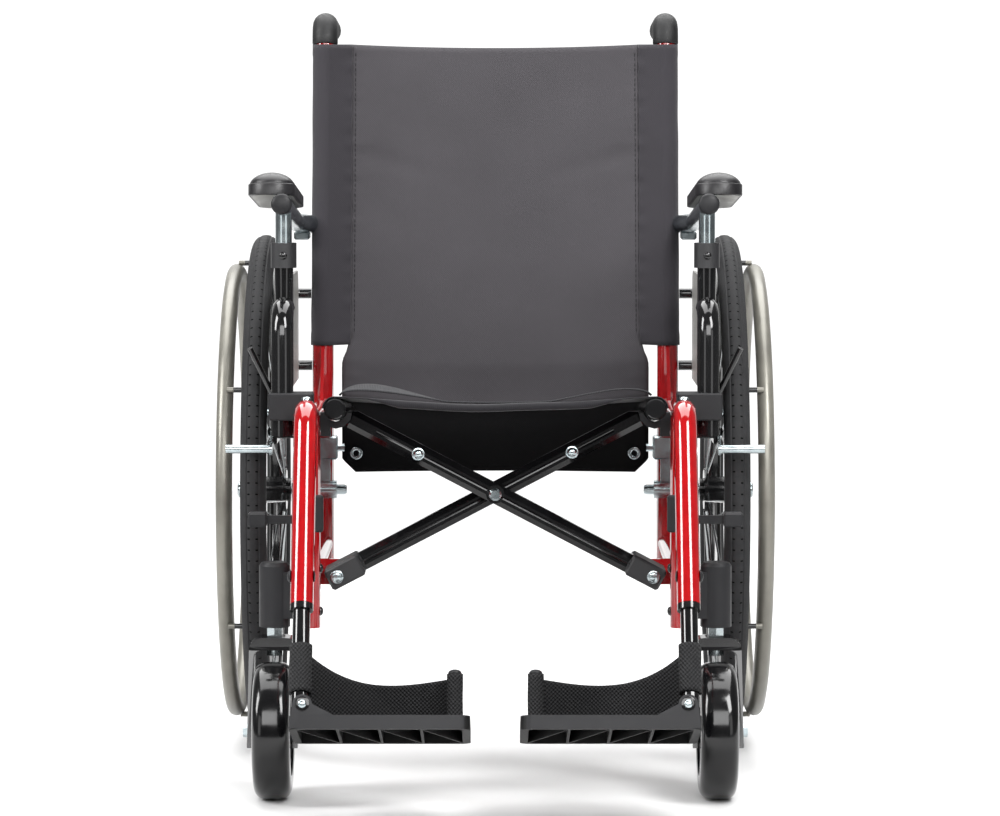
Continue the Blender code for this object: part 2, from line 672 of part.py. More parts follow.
def hanger():
    pivot = (FRAME_X, FRONT_Y, LATCH_Z)
    path = bent_path([(FRAME_X, HANGER_POST_Y, HANGER_FOOT_Z), (FRAME_X, HANGER_POST_Y, HANGER_TOP_Z),
                      (FRAME_X, HANGER_POST_Y - HANGER_ARCH, HANGER_TOP_Z),
                      (FRAME_X, HANGER_END_Y, HANGER_END_Z)], HANGER_BEND)
    main = tube(path, TUBE_R)
    wide = TUBE_R - 0.0007
    cap = box((FRAME_X - wide, HANGER_POST_Y - 0.004, FRONT_TOP_Z + GAP),
              (FRAME_X + wide, FRONT_Y + 0.009, FRONT_TOP_Z + GAP + 0.006), 0.0015)
    saddle = box((FRAME_X - wide, HANGER_POST_Y, SADDLE_LOW_Z),
                 (FRAME_X + wide, FRONT_Y - 0.004, SADDLE_HIGH_Z))
    hole = upright_hole(FRAME_X, FRONT_Y, TUBE_R + GAP, FRONT_FOOT_Z, FRONT_TOP_Z + GAP / 2)
    pair("hanger_tube", cut(fused(main, cap, saddle), hole), RED, pivot)

    front = HANGER_POST_Y - TUBE_R - 2 * GAP
    bar = box((LATCH_IN_X + 0.004, front - 0.007, LATCH_Z - 0.0045),
              (LATCH_OUT_X - 0.010, front, LATCH_Z + 0.0045))
    lever = box((LATCH_IN_X, front - 0.009, LATCH_Z - 0.014),
                (LATCH_IN_X + 0.010, front, LATCH_Z + 0.027), 0.002)
    block = box((LATCH_OUT_X - 0.021, front - 0.012, LATCH_Z - 0.008),
                (LATCH_OUT_X, front + 0.006, LATCH_Z + 0.008), 0.002)
    pair("hanger_latch", fused(bar, lever, block), PLASTIC, (FRAME_X, front, LATCH_Z))

    down = Vector((0, -math.cos(SLOPE), -math.sin(SLOPE)))
    top = Vector((FRAME_X, HANGER_END_Y, HANGER_END_Z))
    hinge = Vector((FOOT_HINGE_X, FOOT_HINGE_Y, FOOT_HINGE_Z))
    lie = Vector((0, math.cos(TILT), -math.sin(TILT)))
    stay = rod(top + down * GAP, Vector((FRAME_X, FOOT_HINGE_Y, FOOT_HINGE_Z)), EXTENSION_R)
    ferrule = rod(top + down * GAP, top + down * 0.007, TUBE_R)
    barrel = rod(hinge - lie * (HINGE_BARREL / 2), hinge + lie * (HINGE_BARREL / 2), HINGE_BARREL_R)
    reach = HINGE_BARREL / 2 + EAR_THICK
    pin = rod(hinge - lie * reach, hinge + lie * reach, HINGE_PIN_R, 12)
    pair("footrest_extension", fused(stay, ferrule, barrel, pin), BLACK, pivot)


def foot_place():
    """The footplate's own axes: its hinge along Y, its tread level, tipped up at the front."""
    hinge = Matrix.Translation((FOOT_HINGE_X, FOOT_HINGE_Y, FOOT_HINGE_Z))
    return hinge @ Matrix.Rotation(-TILT, 4, "X")


def footplate():
    inner = FOOT_INNER_X - FOOT_HINGE_X
    outer = FOOT_OUTER_X - FOOT_HINGE_X
    round_r = 0.012
    outline = arc((inner + round_r, -FOOT_FRONT + round_r), round_r, 180, 270, 4)
    outline += arc((outer - round_r, -FOOT_FRONT + round_r), round_r, 270, 360, 4)
    outline += arc((outer - round_r, FOOT_REAR - round_r), round_r, 0, 90, 4)
    outline += arc((inner + round_r, FOOT_REAR - round_r), round_r, 90, 180, 4)
    thick = FOOT_DROP - FOOT_TREAD
    slab = plate([outline], thick, Matrix.Translation((0, 0, -FOOT_TREAD - thick / 2)))
    reach = HINGE_BARREL / 2 + GAP
    lowest = -FOOT_DROP + 0.001
    side_view = arc((0, 0), EAR_R, 0, 180, 6)
    side_view += [(-EAR_REACH, -FOOT_TREAD + 0.0005), (-EAR_REACH, lowest), (outer - 0.001, lowest)]
    ears = [plate([side_view], EAR_THICK, facing(side * (reach + EAR_THICK / 2))) for side in (-1, 1)]
    spot = (POST_X - FOOT_HINGE_X, POST_BACK)
    post = rod((*spot, lowest), (*spot, POST_TOP), POST_R, 12)

    cells = []
    margin = 0.007
    rib = 0.003
    width = (outer - inner - 2 * margin) / FOOT_CELLS
    low = -FOOT_FRONT + margin
    high = FOOT_REAR - margin
    depth = 2 * (FOOT_DROP - FOOT_TREAD - FOOT_SKIN)
    for i in range(FOOT_CELLS):
        left = inner + margin + width * i + rib / 2
        right = left + width - rib
        split = rib * 1.6
        lower_half = [(left, low), (right, low), (left, high - split)]
        upper_half = [(right, low + split), (right, high), (left + rib / 3, high)]
        for corner in (lower_half, upper_half):
            cells.append(plate([corner], depth, Matrix.Translation((0, 0, -FOOT_DROP))))
    far = reach + 2 * EAR_THICK
    hole = bore((0, -far, 0), (0, far, 0), HINGE_PIN_R + GAP)
    body = cut(fused(slab, *ears, post), hole, *cells)
    body.data.transform(foot_place())
    pair("footplate", body, PLASTIC, (FOOT_HINGE_X, FOOT_HINGE_Y, FOOT_HINGE_Z))


def heel_loop():
    up = Vector((0, math.cos(SLOPE), math.sin(SLOPE)))
    hinge = Vector((FRAME_X, FOOT_HINGE_Y, FOOT_HINGE_Z))
    low = hinge + up * LOOP_LOW
    high = hinge + up * LOOP_HIGH
    sleeve = rod(low, high, EXTENSION_R + GAP + LOOP_THICK)
    hole = bore(low - up * 0.03, high + up * 0.03, EXTENSION_R + GAP)
    place = foot_place()
    spot = (POST_X - FOOT_HINGE_X, POST_BACK)
    wrap_r = POST_R + GAP + LOOP_THICK
    wrap_low = -FOOT_TREAD + GAP
    wrap_high = POST_TOP - LOOP_THICK
    wrap = rod(place @ Vector((*spot, wrap_low)), place @ Vector((*spot, wrap_high)), wrap_r)
    post_hole = bore(place @ Vector((*spot, wrap_low - 0.03)), place @ Vector((*spot, wrap_high + 0.03)),
                     POST_R + GAP)
    start = (low + high) / 2 + Vector((0, EXTENSION_R + GAP, 0))
    end = place @ Vector((*spot, (wrap_low + wrap_high) / 2)) + Vector((0, POST_R + GAP, 0))
    steps = 12
    line = []
    for i in range(steps + 1):
        share = i / steps
        line.append((start.x + (end.x - start.x) * share,
                     start.y + (end.y - start.y) * share + LOOP_BULGE * math.sin(math.pi * share) ** 0.8))
    edge = line + [(x, y + LOOP_THICK) for x, y in reversed(line)]
    band = plate([edge], LOOP_HEIGHT, Matrix.Translation((0, 0, end.z)))
    for vertex in band.data.vertices:
        share = (start.x - vertex.co.x) / (start.x - end.x)
        vertex.co.z += (start.z - end.z) * (1 - share) ** 2.2 - LOOP_DIP * math.sin(math.pi * share)
    body = cut(fused(sleeve, wrap, band), hole, post_hole)
    pair("heel_loop", body, WEBBING, (FOOT_HINGE_X, FOOT_HINGE_Y, FOOT_HINGE_Z))


def armrest():
    back_high = cane_y(ARM_BAR_HIGH_Z)
    back_low = cane_y(ARM_BAR_LOW_Z)
    touch = FRAME_X + SLEEVE_OUT_R + GAP
    bend = 0.030
    leg = tube(bent_path([(ARM_X, ARM_LEG_Y, ARM_FOOT_Z), (ARM_X, ARM_LEG_Y, ARM_BAR_HIGH_Z),
                          (ARM_X, ARM_POST_Y, ARM_BAR_HIGH_Z)], bend), ARM_LEG_R)
    bars = []
    for z, back, end in ((ARM_BAR_HIGH_Z, back_high, touch),
                         (ARM_BAR_LOW_Z, back_low, FRAME_X + TUBE_R + GAP)):
        start_y = ARM_LEG_Y if z == ARM_BAR_LOW_Z else ARM_POST_Y
        path = bent_path([(ARM_BAR_X, start_y, z), (ARM_BAR_X, back, z), (end, back, z)], 0.010, 30)
        bars.append(tube(path, ARM_BAR_R, 8))
    sleeve = rod((ARM_X, ARM_POST_Y, ARM_BAR_LOW_Z), (ARM_X, ARM_POST_Y, ARM_SLEEVE_TOP_Z + 0.01),
                 ARM_SLEEVE_R)
    collar_top = ARM_SLEEVE_TOP_Z + COLLAR_HEIGHT
    collar = rod((ARM_X, ARM_POST_Y, ARM_SLEEVE_TOP_Z), (ARM_X, ARM_POST_Y, collar_top), COLLAR_R)
    well = upright_hole(ARM_X, ARM_POST_Y, ARM_POST_R + RUNNING_GAP, POST_FOOT_Z - 0.003, ARM_TOP_Z)
    pair("arm_frame", cut(fused(leg, *bars, sleeve, collar), well), BLACK)

    rear_z = arm_z(0.0)
    rear_y = cane_y(rear_z) - 0.004
    end = FRAME_X + SLEEVE_OUT_R + 2 * GAP
    path = bent_path([(ARM_X, ARM_LEG_Y, ARM_TOP_Z), (ARM_X, 0.0, rear_z),
                      (end, rear_y, rear_z - 0.004)], 0.030)
    main = tube(path, ARM_TUBE_R)
    post = rod((ARM_X, ARM_POST_Y, POST_FOOT_Z), (ARM_X, ARM_POST_Y, arm_z(ARM_POST_Y)), ARM_POST_R)
    shelf = box((end + 0.001, rear_y - 0.030, rear_z - 0.022),
                (ARM_X + 0.004, rear_y + 0.010, rear_z - 0.012), 0.002)
    clear_low = ARM_TOP_Z - 0.1
    clear_high = ARM_TOP_Z + 0.05
    clear = bore((FRAME_X, cane_y(clear_low), clear_low), (FRAME_X, cane_y(clear_high), clear_high),
                 SLEEVE_OUT_R + GAP)
    pair("arm_tube", cut(fused(main, post, shelf), clear), CHROME, (ARM_X, ARM_POST_Y, ARM_SLEEVE_TOP_Z))

    grow = (1.0, 1.06, 0.64)
    heights = (0.0, 0.45, 1.08)
    cage = bmesh.new()
    loops = []
    for share, height in zip(grow, heights):
        half_w = PAD_WIDTH / 2 * share
        half_l = PAD_LENGTH / 2 - PAD_WIDTH / 2 * (1 - share)
        corners = [(x * half_w, y * half_l * reach) for x, y, reach in
                   ((-1, -1, 1), (0, -1, 1.03), (1, -1, 1), (1, 0, 1),
                    (1, 1, 1), (0, 1, 1.03), (-1, 1, 1), (-1, 0, 1))]
        loops.append([cage.verts.new((x, y, height * PAD_THICK)) for x, y in corners])
    for lower, upper in zip(loops, loops[1:]):
        for i in range(len(lower)):
            j = (i + 1) % len(lower)
            cage.faces.new((lower[i], lower[j], upper[j], upper[i]))
    cage.faces.new(list(reversed(loops[0])))
    cage.faces.new(loops[-1])
    mesh = bpy.data.meshes.new("pad")
    cage.to_mesh(mesh)
    cage.free()
    pad = solid(mesh)
    soft = pad.modifiers.new("soften", "SUBSURF")
    soft.levels = 2
    soft.render_levels = 2
    crease = pad.data.attributes.new("crease_edge", "FLOAT", "EDGE")
    for edge in pad.data.edges:
        flat = all(pad.data.vertices[v].co.z < PAD_THICK * 0.01 for v in edge.vertices)
        crease.data[edge.index].value = 1.0 if flat else 0.0
    mid_y = PAD_FRONT_Y + PAD_LENGTH / 2
    pad.matrix_world = (Matrix.Translation((PAD_X, mid_y, arm_z(mid_y) + ARM_TUBE_R + 2 * GAP))
                        @ Matrix.Rotation(-math.radians(ARM_DROP_DEG), 4, "X"))
    pair("armpad", baked(pad), VINYL, (ARM_X, ARM_POST_Y, ARM_SLEEVE_TOP_Z))

    outline = [(PANEL_FRONT_Y, PANEL_LOW_Z), (PANEL_BACK_Y, PANEL_LOW_Z)]
    outline += arc((PANEL_BACK_Y - 0.02, PANEL_HIGH_Z - 0.02), 0.02, 0, 90, 4)
    outline += arc((PANEL_FRONT_Y + PANEL_CORNER, PANEL_HIGH_Z - PANEL_CORNER), PANEL_CORNER, 90, 180, 6)
    pair("side_panel", plate([outline], PANEL_THICK, across(PANEL_X)), PANEL)

    low_z = UPPER_RAIL_Z + UPPER_RAIL_R + 0.001
    wall = ARM_LEG_R + GAP + SOCKET_WALL
    top_z = ARM_BAR_LOW_Z - ARM_BAR_R - 0.001
    socket = box((FRAME_X - 0.004, ARM_LEG_Y - wall - 0.004, low_z),
                 (ARM_X + wall, ARM_LEG_Y + wall + 0.004, top_z), 0.0015)
    cradle_front = ARM_LEG_Y - wall - 0.004
    cradle_back = BRACE_FRONT_Y - BRACE_DEPTH / 2 - 0.003
    cup_r = RAIL_R + GAP + CRADLE_WALL
    cup = rod((RAIL_X, cradle_front, RAIL_Z), (RAIL_X, cradle_back, RAIL_Z), cup_r)
    cup = cut(cup, box((RAIL_X - 0.1, cradle_front - 0.1, RAIL_Z),
                       (RAIL_X + 0.1, cradle_back + 0.1, RAIL_Z + 0.1)))
    strap = box((RAIL_X + 0.006, cradle_front, UPPER_RAIL_Z - 0.004), (FRAME_X, cradle_back, low_z + 0.006))
    far_front = cradle_front - 0.1
    leg_hole = upright_hole(ARM_X, ARM_LEG_Y, ARM_LEG_R + GAP, low_z - 0.03, top_z + 0.03)
    rail_hole = bore((FRAME_X, far_front, UPPER_RAIL_Z), (FRAME_X, 0, UPPER_RAIL_Z), UPPER_RAIL_R + GAP)
    seat_hole = bore((RAIL_X, far_front, rail_z(far_front)), (RAIL_X, 0, rail_z(0)), RAIL_R + GAP)
    front_hole = upright_hole(FRAME_X, FRONT_Y, TUBE_R + GAP, UPPER_RAIL_Z - 0.05, FRONT_TOP_Z + 0.03)
    block = cut(fused(socket, cup, strap), leg_hole, rail_hole, seat_hole, front_hole)
    pair("arm_socket", block, PLASTIC)


def wheel_lock():
    half = LOCK_THICK / 2
    front = LEVER_PIVOT[0] - LOCK_EDGE + 0.003
    back = SHOE_PIVOT[0] + LOCK_EDGE + 0.010
    mount = box((LOCK_X - half, front, SHOE_PIVOT_Z - LOCK_EDGE),
                (LOCK_X + half, back, LEVER_PIVOT_Z + LOCK_EDGE), 0.001)
    clamp = box((FRAME_X + 0.006, front + LOCK_EDGE, UPPER_RAIL_Z - 0.013),
                (LOCK_X, back - 0.010, UPPER_RAIL_Z + 0.016), 0.001)
    reach = LOCK_ARM_X + LOCK_ARM_THICK / 2 + 0.0015
    pins = [rod((LOCK_X, *spot), (reach, *spot), LOCK_PIN_R, 12) for spot in (LEVER_PIVOT, SHOE_PIVOT)]
    hole = bore((FRAME_X, front - 0.05, UPPER_RAIL_Z), (FRAME_X, back + 0.05, UPPER_RAIL_Z),
                UPPER_RAIL_R + GAP)
    pair("wheel_lock_body", cut(fused(mount, clamp, *pins), hole), BLACK)

    pin_hole = LOCK_PIN_R + GAP
    lean = Vector((LEVER_TOP[1] - LEVER_PIVOT[0], LEVER_TOP[2] - LEVER_PIVOT[1])).normalized()
    knee = Vector(LEVER_PIVOT) + lean * 0.030
    aside = Vector((-lean.y, lean.x)) * 0.0055
    outline = arc(LEVER_PIVOT, LOCK_EYE_R, math.degrees(math.atan2(lean.y, lean.x)) + 60,
                  math.degrees(math.atan2(lean.y, lean.x)) + 300, 12)
    outline += [tuple(knee - aside), tuple(knee + aside)]
    eye = plate([outline, arc(LEVER_PIVOT, pin_hole, 0, 330, 11)], LOCK_ARM_THICK, across(LOCK_ARM_X))
    foot = Vector(LEVER_PIVOT) + lean * 0.024
    handle = rod((LOCK_ARM_X, *foot), LEVER_TOP, 0.0034, 10)
    pair("wheel_lock_lever", fused(eye, handle), BLACK, (LOCK_ARM_X, *LEVER_PIVOT))

    lean = (Vector(SHOE_AT) - Vector(SHOE_PIVOT)).normalized()
    turn = math.degrees(math.atan2(lean.y, lean.x))
    outline = arc(SHOE_PIVOT, LOCK_EYE_R, turn + 50, turn + 310, 12)
    outline += arc(SHOE_AT, LOCK_EYE_R * 0.8, turn - 60, turn + 60, 6)
    arm = plate([outline, arc(SHOE_PIVOT, pin_hole, 0, 330, 11)], LOCK_ARM_THICK, across(LOCK_ARM_X))
    roller = rod((LOCK_ARM_X - LOCK_ARM_THICK / 4, *SHOE_AT), (SHOE_END_X, *SHOE_AT), SHOE_R, 14)
    pair("wheel_lock_shoe", fused(arm, roller), CHROME, (LOCK_ARM_X, *SHOE_PIVOT))


def brace(name, side, y, boss_front):
    """One tube of the cross-brace, from its foot on one side to a saddle under the far seat rail."""
    foot = Vector((side * RAIL_X, y, BRACE_FOOT_Z))
    head = Vector((-side * RAIL_X, y, RAIL_Z))
    turn = math.atan2(head.z - foot.z, head.x - foot.x)
    middle = (foot + head) / 2
    length = (head - foot).length
    half_d = BRACE_DEPTH / 2
    half_h = BRACE_HEIGHT / 2
    bar = box((-length / 2, -half_d, -half_h), (length / 2 - RAIL_R, half_d, half_h), 0.006)
    along = Matrix.Translation(middle) @ Matrix.Rotation(-turn, 4, "Y")
    bar.data.transform(along)
    groove_y = half_d if boss_front < 0 else -half_d
    groove = rod((-length / 2 + 0.03, -groove_y, 0), (length / 2 - 0.05, -groove_y, 0), 0.002, 8)
    groove.data.transform(along)
    foot_back = BRACE_BACK_Y + half_d + 0.007
    foot_front = BRACE_FRONT_Y - half_d - 0.001
    socket = box((-length / 2 - BRACE_SOCKET_END, foot_front - y, -BRACE_SOCKET_HALF),
                 (-length / 2 + BRACE_SOCKET_REACH, foot_back - y, BRACE_SOCKET_HALF), 0.0025)
    socket.data.transform(along)
    saddle_r = RAIL_R + GAP + BRACE_SADDLE_WALL
    saddle = rod((head.x, y - half_d, head.z), (head.x, y + half_d, head.z), saddle_r, 12)
    outward = half_d + 0.0015
    boss = rod((0, y, CENTRE_Z), (0, y + boss_front * outward, CENTRE_Z), PIVOT_BOSS_R, 12)
    far = 0.1
    above = box((head.x - far, y - far, rail_z(y + half_d) - 0.0005), (head.x + far, y + far, head.z + far))
    rail_hole = bore((head.x, y - far, rail_z(y - far)), (head.x, y + far, rail_z(y + far)), RAIL_R + GAP)
    pin_hole = bore((foot.x, y - far, foot.z), (foot.x, y + far, foot.z), BRACE_PIN_R + GAP)
    bolt_hole = bore((0, y - far, CENTRE_Z), (0, y + far, CENTRE_Z), PIVOT_BOLT_R + GAP)
    body = cut(fused(bar, socket, saddle, boss), groove, above, rail_hole, pin_hole, bolt_hole)
    single(name, body, BLACK, foot)


def cross_brace():
    brace("brace_a", -1, BRACE_BACK_Y, -1)
    brace("brace_b", 1, BRACE_FRONT_Y, -1)
    front = BRACE_FRONT_Y - BRACE_DEPTH / 2 - 0.0015 - GAP
    back = BRACE_BACK_Y + BRACE_DEPTH / 2 + GAP
    profile = [(front - 0.004, 0), (front - 0.004, 0.005), (front - 0.002, 0.0072), (front, 0.0072),
               (front, PIVOT_BOLT_R), (back, PIVOT_BOLT_R), (back, 0.0075),
               (back + 0.006, 0.0075), (back + 0.006, 0)]
    bolt = turned([(along, radius) for along, radius in profile], 12, (0, 0, 0), axis="Z")
    bolt.data.transform(Matrix.Translation((0, 0, CENTRE_Z)) @ Matrix.Rotation(-math.pi / 2, 4, "X"))
    single("brace_pivot_bolt", bolt, CHROME, (0, BRACE_FRONT_Y, CENTRE_Z))
    stations = (RAIL_FRONT_Y, RAIL_FRONT_Y + 0.004, RAIL_FRONT_Y + 0.006, RAIL_BACK_Y)
    ends = [Vector((RAIL_X, y, rail_z(y))) for y in stations]
    rail = rod(ends[1], ends[3], RAIL_R, 12)
    cap = rod(ends[2], ends[0], RAIL_R - 0.0005, 12, RAIL_R - 0.002)
    pair("seat_rail", fused(rail, cap), BLACK, (RAIL_X, 0, RAIL_Z))


def sagging(half, sag, height, steps, lift=0.0):
    """Points of a shallow arc from +half to -half that hangs by sag below its ends."""
    points = []
    for i in range(steps + 1):
        x = half - 2 * half * i / steps
        points.append((x, height - sag * (1 - (x / half) ** 2) + lift))
    return points


def tip_with_rails(thing):
    for vertex in thing.data.vertices:
        vertex.co.z += rail_z(vertex.co.y) - RAIL_Z


def seat_sling():
    inside = RAIL_R + GAP
    outside = inside + CLOTH
    upper = arc((RAIL_X, RAIL_Z), outside, 4, 90, 6)
    upper += sagging(RAIL_X, SEAT_SAG, RAIL_Z + outside, 14)[1:-1]
    upper += arc((-RAIL_X, RAIL_Z), outside, 90, 176, 6)
    lower = arc((-RAIL_X, RAIL_Z), inside, 176, 90, 6)
    lower += list(reversed(sagging(RAIL_X, SEAT_SAG, RAIL_Z + inside, 14)))[1:-1]
    lower += arc((RAIL_X, RAIL_Z), inside, 90, 4, 6)
    middle = (SEAT_FRONT_Y + SEAT_BACK_Y) / 2
    cloth = plate([upper + lower], SEAT_BACK_Y - SEAT_FRONT_Y, facing(middle))
    tip_with_rails(cloth)
    single("seat_sling", cloth, FABRIC, (-RAIL_X, 0, RAIL_Z))

    top = RAIL_Z + outside + GAP
    upper = sagging(STRAP_HALF, SEAT_SAG * (STRAP_HALF / RAIL_X) ** 2, top + 0.0018, 8,
                    -SEAT_SAG * (1 - (STRAP_HALF / RAIL_X) ** 2))
    lower = [(x, z - 0.0018) for x, z in reversed(upper)]
    band = plate([upper + lower], STRAP_WIDTH, facing(STRAP_Y))
    tip_with_rails(band)
    single("fold_strap", band, STRAP, (-RAIL_X, 0, RAIL_Z))


def back_upholstery():
    inside = TUBE_R + GAP
    outside = inside + CLOTH
    steps = 14
    lean = Matrix.Rotation(-RECLINE, 4, "X")
    length = (BACK_TOP_Z - BACK_LOW_Z) / math.cos(RECLINE)
    middle_z = (BACK_TOP_Z + BACK_LOW_Z) / 2
    hang = sagging(FRAME_X - 0.006, -BACK_SAG, outside * 0.9, steps)
    face = arc((FRAME_X, 0), outside, 245, 475, 11) + hang[1:-1] + arc((-FRAME_X, 0), outside, 65, 295, 11)
    thin = sagging(FRAME_X - 0.006, -BACK_SAG, outside * 0.9 - 2 * CLOTH, steps)
    face += list(reversed(thin[2:-2]))
    holes = [arc((side * FRAME_X, 0), inside, 0, 340, 17) for side in (1, -1)]
    place = Matrix.Translation((0, cane_y(middle_z), middle_z)) @ lean
    upper = plate([face] + holes, length, place)
    line = sagging(FLAP_HALF, -BACK_SAG * 0.9, outside * 0.9 - CLOTH, steps)
    edge = line + [(x, y - 1.6 * CLOTH) for x, y in reversed(line)]
    flap_top = BACK_LOW_Z + 0.02
    flap_place = Matrix.Translation((0, cane_y(BACK_LOW_Z), (flap_top + FLAP_LOW_Z) / 2))
    flap = plate([edge], flap_top - FLAP_LOW_Z, flap_place)
    single("back_upholstery", fused(upper, flap), FABRIC, (-FRAME_X, REAR_Y, BACK_LOW_Z))


side_frame()
push_grip()
axle_receiver()
rear_wheel()
caster()
hanger()
footplate()
heel_loop()
armrest()
wheel_lock()
cross_brace()
seat_sling()
back_upholstery()
bpy.data.collections.remove(SHAPES)
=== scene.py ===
import math

import bmesh
import bpy
from mathutils import Matrix, Vector, noise


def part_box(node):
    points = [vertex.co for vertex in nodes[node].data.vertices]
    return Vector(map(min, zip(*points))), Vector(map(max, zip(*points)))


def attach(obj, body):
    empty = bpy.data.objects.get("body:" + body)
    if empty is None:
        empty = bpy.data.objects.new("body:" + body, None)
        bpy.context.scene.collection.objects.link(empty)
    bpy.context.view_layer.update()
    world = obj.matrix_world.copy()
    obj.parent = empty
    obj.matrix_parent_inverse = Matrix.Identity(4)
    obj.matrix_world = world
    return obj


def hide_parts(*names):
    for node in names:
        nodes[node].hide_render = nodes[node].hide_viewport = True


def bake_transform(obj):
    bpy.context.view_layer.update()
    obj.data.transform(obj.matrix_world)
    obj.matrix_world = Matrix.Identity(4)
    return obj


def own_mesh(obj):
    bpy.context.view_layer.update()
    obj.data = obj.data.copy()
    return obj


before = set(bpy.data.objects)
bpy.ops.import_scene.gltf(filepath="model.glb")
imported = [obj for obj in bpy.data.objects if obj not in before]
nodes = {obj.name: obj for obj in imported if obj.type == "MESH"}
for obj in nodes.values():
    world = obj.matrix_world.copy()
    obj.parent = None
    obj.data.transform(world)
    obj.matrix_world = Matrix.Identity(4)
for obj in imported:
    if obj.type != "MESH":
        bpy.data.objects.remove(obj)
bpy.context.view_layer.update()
sides = {"left": -1, "right": 1}

# Places that the pieces share, in metres. The rear wheels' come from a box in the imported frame.
tyreLow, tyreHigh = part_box("right_rear_tyre")
axleY = (tyreLow.y + tyreHigh.y) / 2
wheelRadius = (tyreHigh.z - tyreLow.z) / 2
wheelX = (tyreLow.x + tyreHigh.x) / 2
cane = {"x": 0.207, "y": axleY + 0.024, "bendZ": 0.450, "topZ": 0.842,
        "recline": math.tan(math.radians(12.8))}
rail = {"x": 0.1775, "z": 0.424, "levelY": axleY - 0.3195, "drop": math.tan(math.radians(4.8))}
arm = {"x": 0.238, "y": axleY - 0.345, "z": 0.6555, "drop": math.radians(5), "tube": 0.011}
foot = {"x": 0.203, "y": axleY - 0.618704, "z": 0.130, "tilt": math.radians(15), "slope": math.radians(62)}
forward = Vector((0, -1, 0))
mergeGap = {"solid": 1e-5, "piece": 1e-6}   # points nearer than this are one


def caneY(z):
    return cane["y"] + max(0.0, z - cane["bendZ"]) * cane["recline"]


def railZ(y):
    return rail["z"] - (y - rail["levelY"]) * rail["drop"]


def armZ(y):
    return arm["z"] - (y - arm["y"]) * math.tan(arm["drop"])


def footPlace(sign):
    hinge = Matrix.Translation((sign * foot["x"], foot["y"], foot["z"]))
    return hinge @ Matrix.Rotation(-foot["tilt"], 4, "X")


def clamped(share):
    return min(1.0, max(0.0, share))


def toLinear(hexColour):
    channels = [int(hexColour[i:i + 2], 16) / 255 for i in (1, 3, 5)]
    return tuple(c / 12.92 if c <= 0.04045 else ((c + 0.055) / 1.055) ** 2.4 for c in channels) + (1.0,)


def addNode(tree, kind, inputs=(), output=0, **settings):
    # kind leaves out the word ShaderNode, and inputs go by name or, in a plain row, by order
    node = tree.nodes.new(kind if "Node" in kind else "ShaderNode" + kind)
    for key, value in settings.items():
        setattr(node, key, value)
    for key, value in inputs.items() if isinstance(inputs, dict) else enumerate(inputs):
        if isinstance(value, bpy.types.NodeSocket):
            tree.links.new(value, node.inputs[key])
        else:
            node.inputs[key].default_value = value
    return node.outputs[output] if node.outputs else None


def weaveHeight(tree, axes, look):
    # a wave for each run of threads, multiplied where two runs cross
    waves = []
    for axis in look["axes"]:
        turns = (axes[axis], 2 * math.pi / look["weave"])
        along = addNode(tree, "Math", turns, operation="MULTIPLY")
        waves.append(addNode(tree, "Math", (along,), operation="SINE"))
    return addNode(tree, "Math", (waves[0], waves[-1]), operation="MULTIPLY")


def sipeHeight(tree, axes, sipes):
    # short cuts across the tread of either wheel, on both sides of its middle
    depth = addNode(tree, "Math", (axes["Y"], axleY), operation="SUBTRACT")
    height = addNode(tree, "Math", (axes["Z"], wheelRadius), operation="SUBTRACT")
    turn = addNode(tree, "Math", (depth, height), operation="ARCTAN2")
    along = addNode(tree, "Math", (turn, sipes["count"]), operation="MULTIPLY")
    wave = addNode(tree, "Math", (along,), operation="SINE")
    away = addNode(tree, "Math", (axes["X"],), operation="ABSOLUTE")
    for middle in (wheelX, sipes["at"]):
        off = addNode(tree, "Math", (away, middle), operation="SUBTRACT")
        away = addNode(tree, "Math", (off,), operation="ABSOLUTE")
    band = addNode(tree, "MapRange", (away, *sipes["band"]))
    cut = addNode(tree, "MapRange", (wave, *sipes["wave"]))
    return addNode(tree, "Math", (cut, band), operation="MULTIPLY")


# What all finishes share: the shader's socket and usual value for what is even all over, and the noise
evenValues = {"metallic": ("Metallic", 0.0), "coat": ("Coat Weight", 0.0), "sheen": ("Sheen Weight", 0.0),
              "coatRough": ("Coat Roughness", 0.05), "specular": ("Specular IOR Level", 0.5)}
mottling = {"span": (0.3, 0.7), "detail": 5.0, "grainDetail": 3.0}
wear = {"edge": (0.53, 0.62), "share": 0.5}


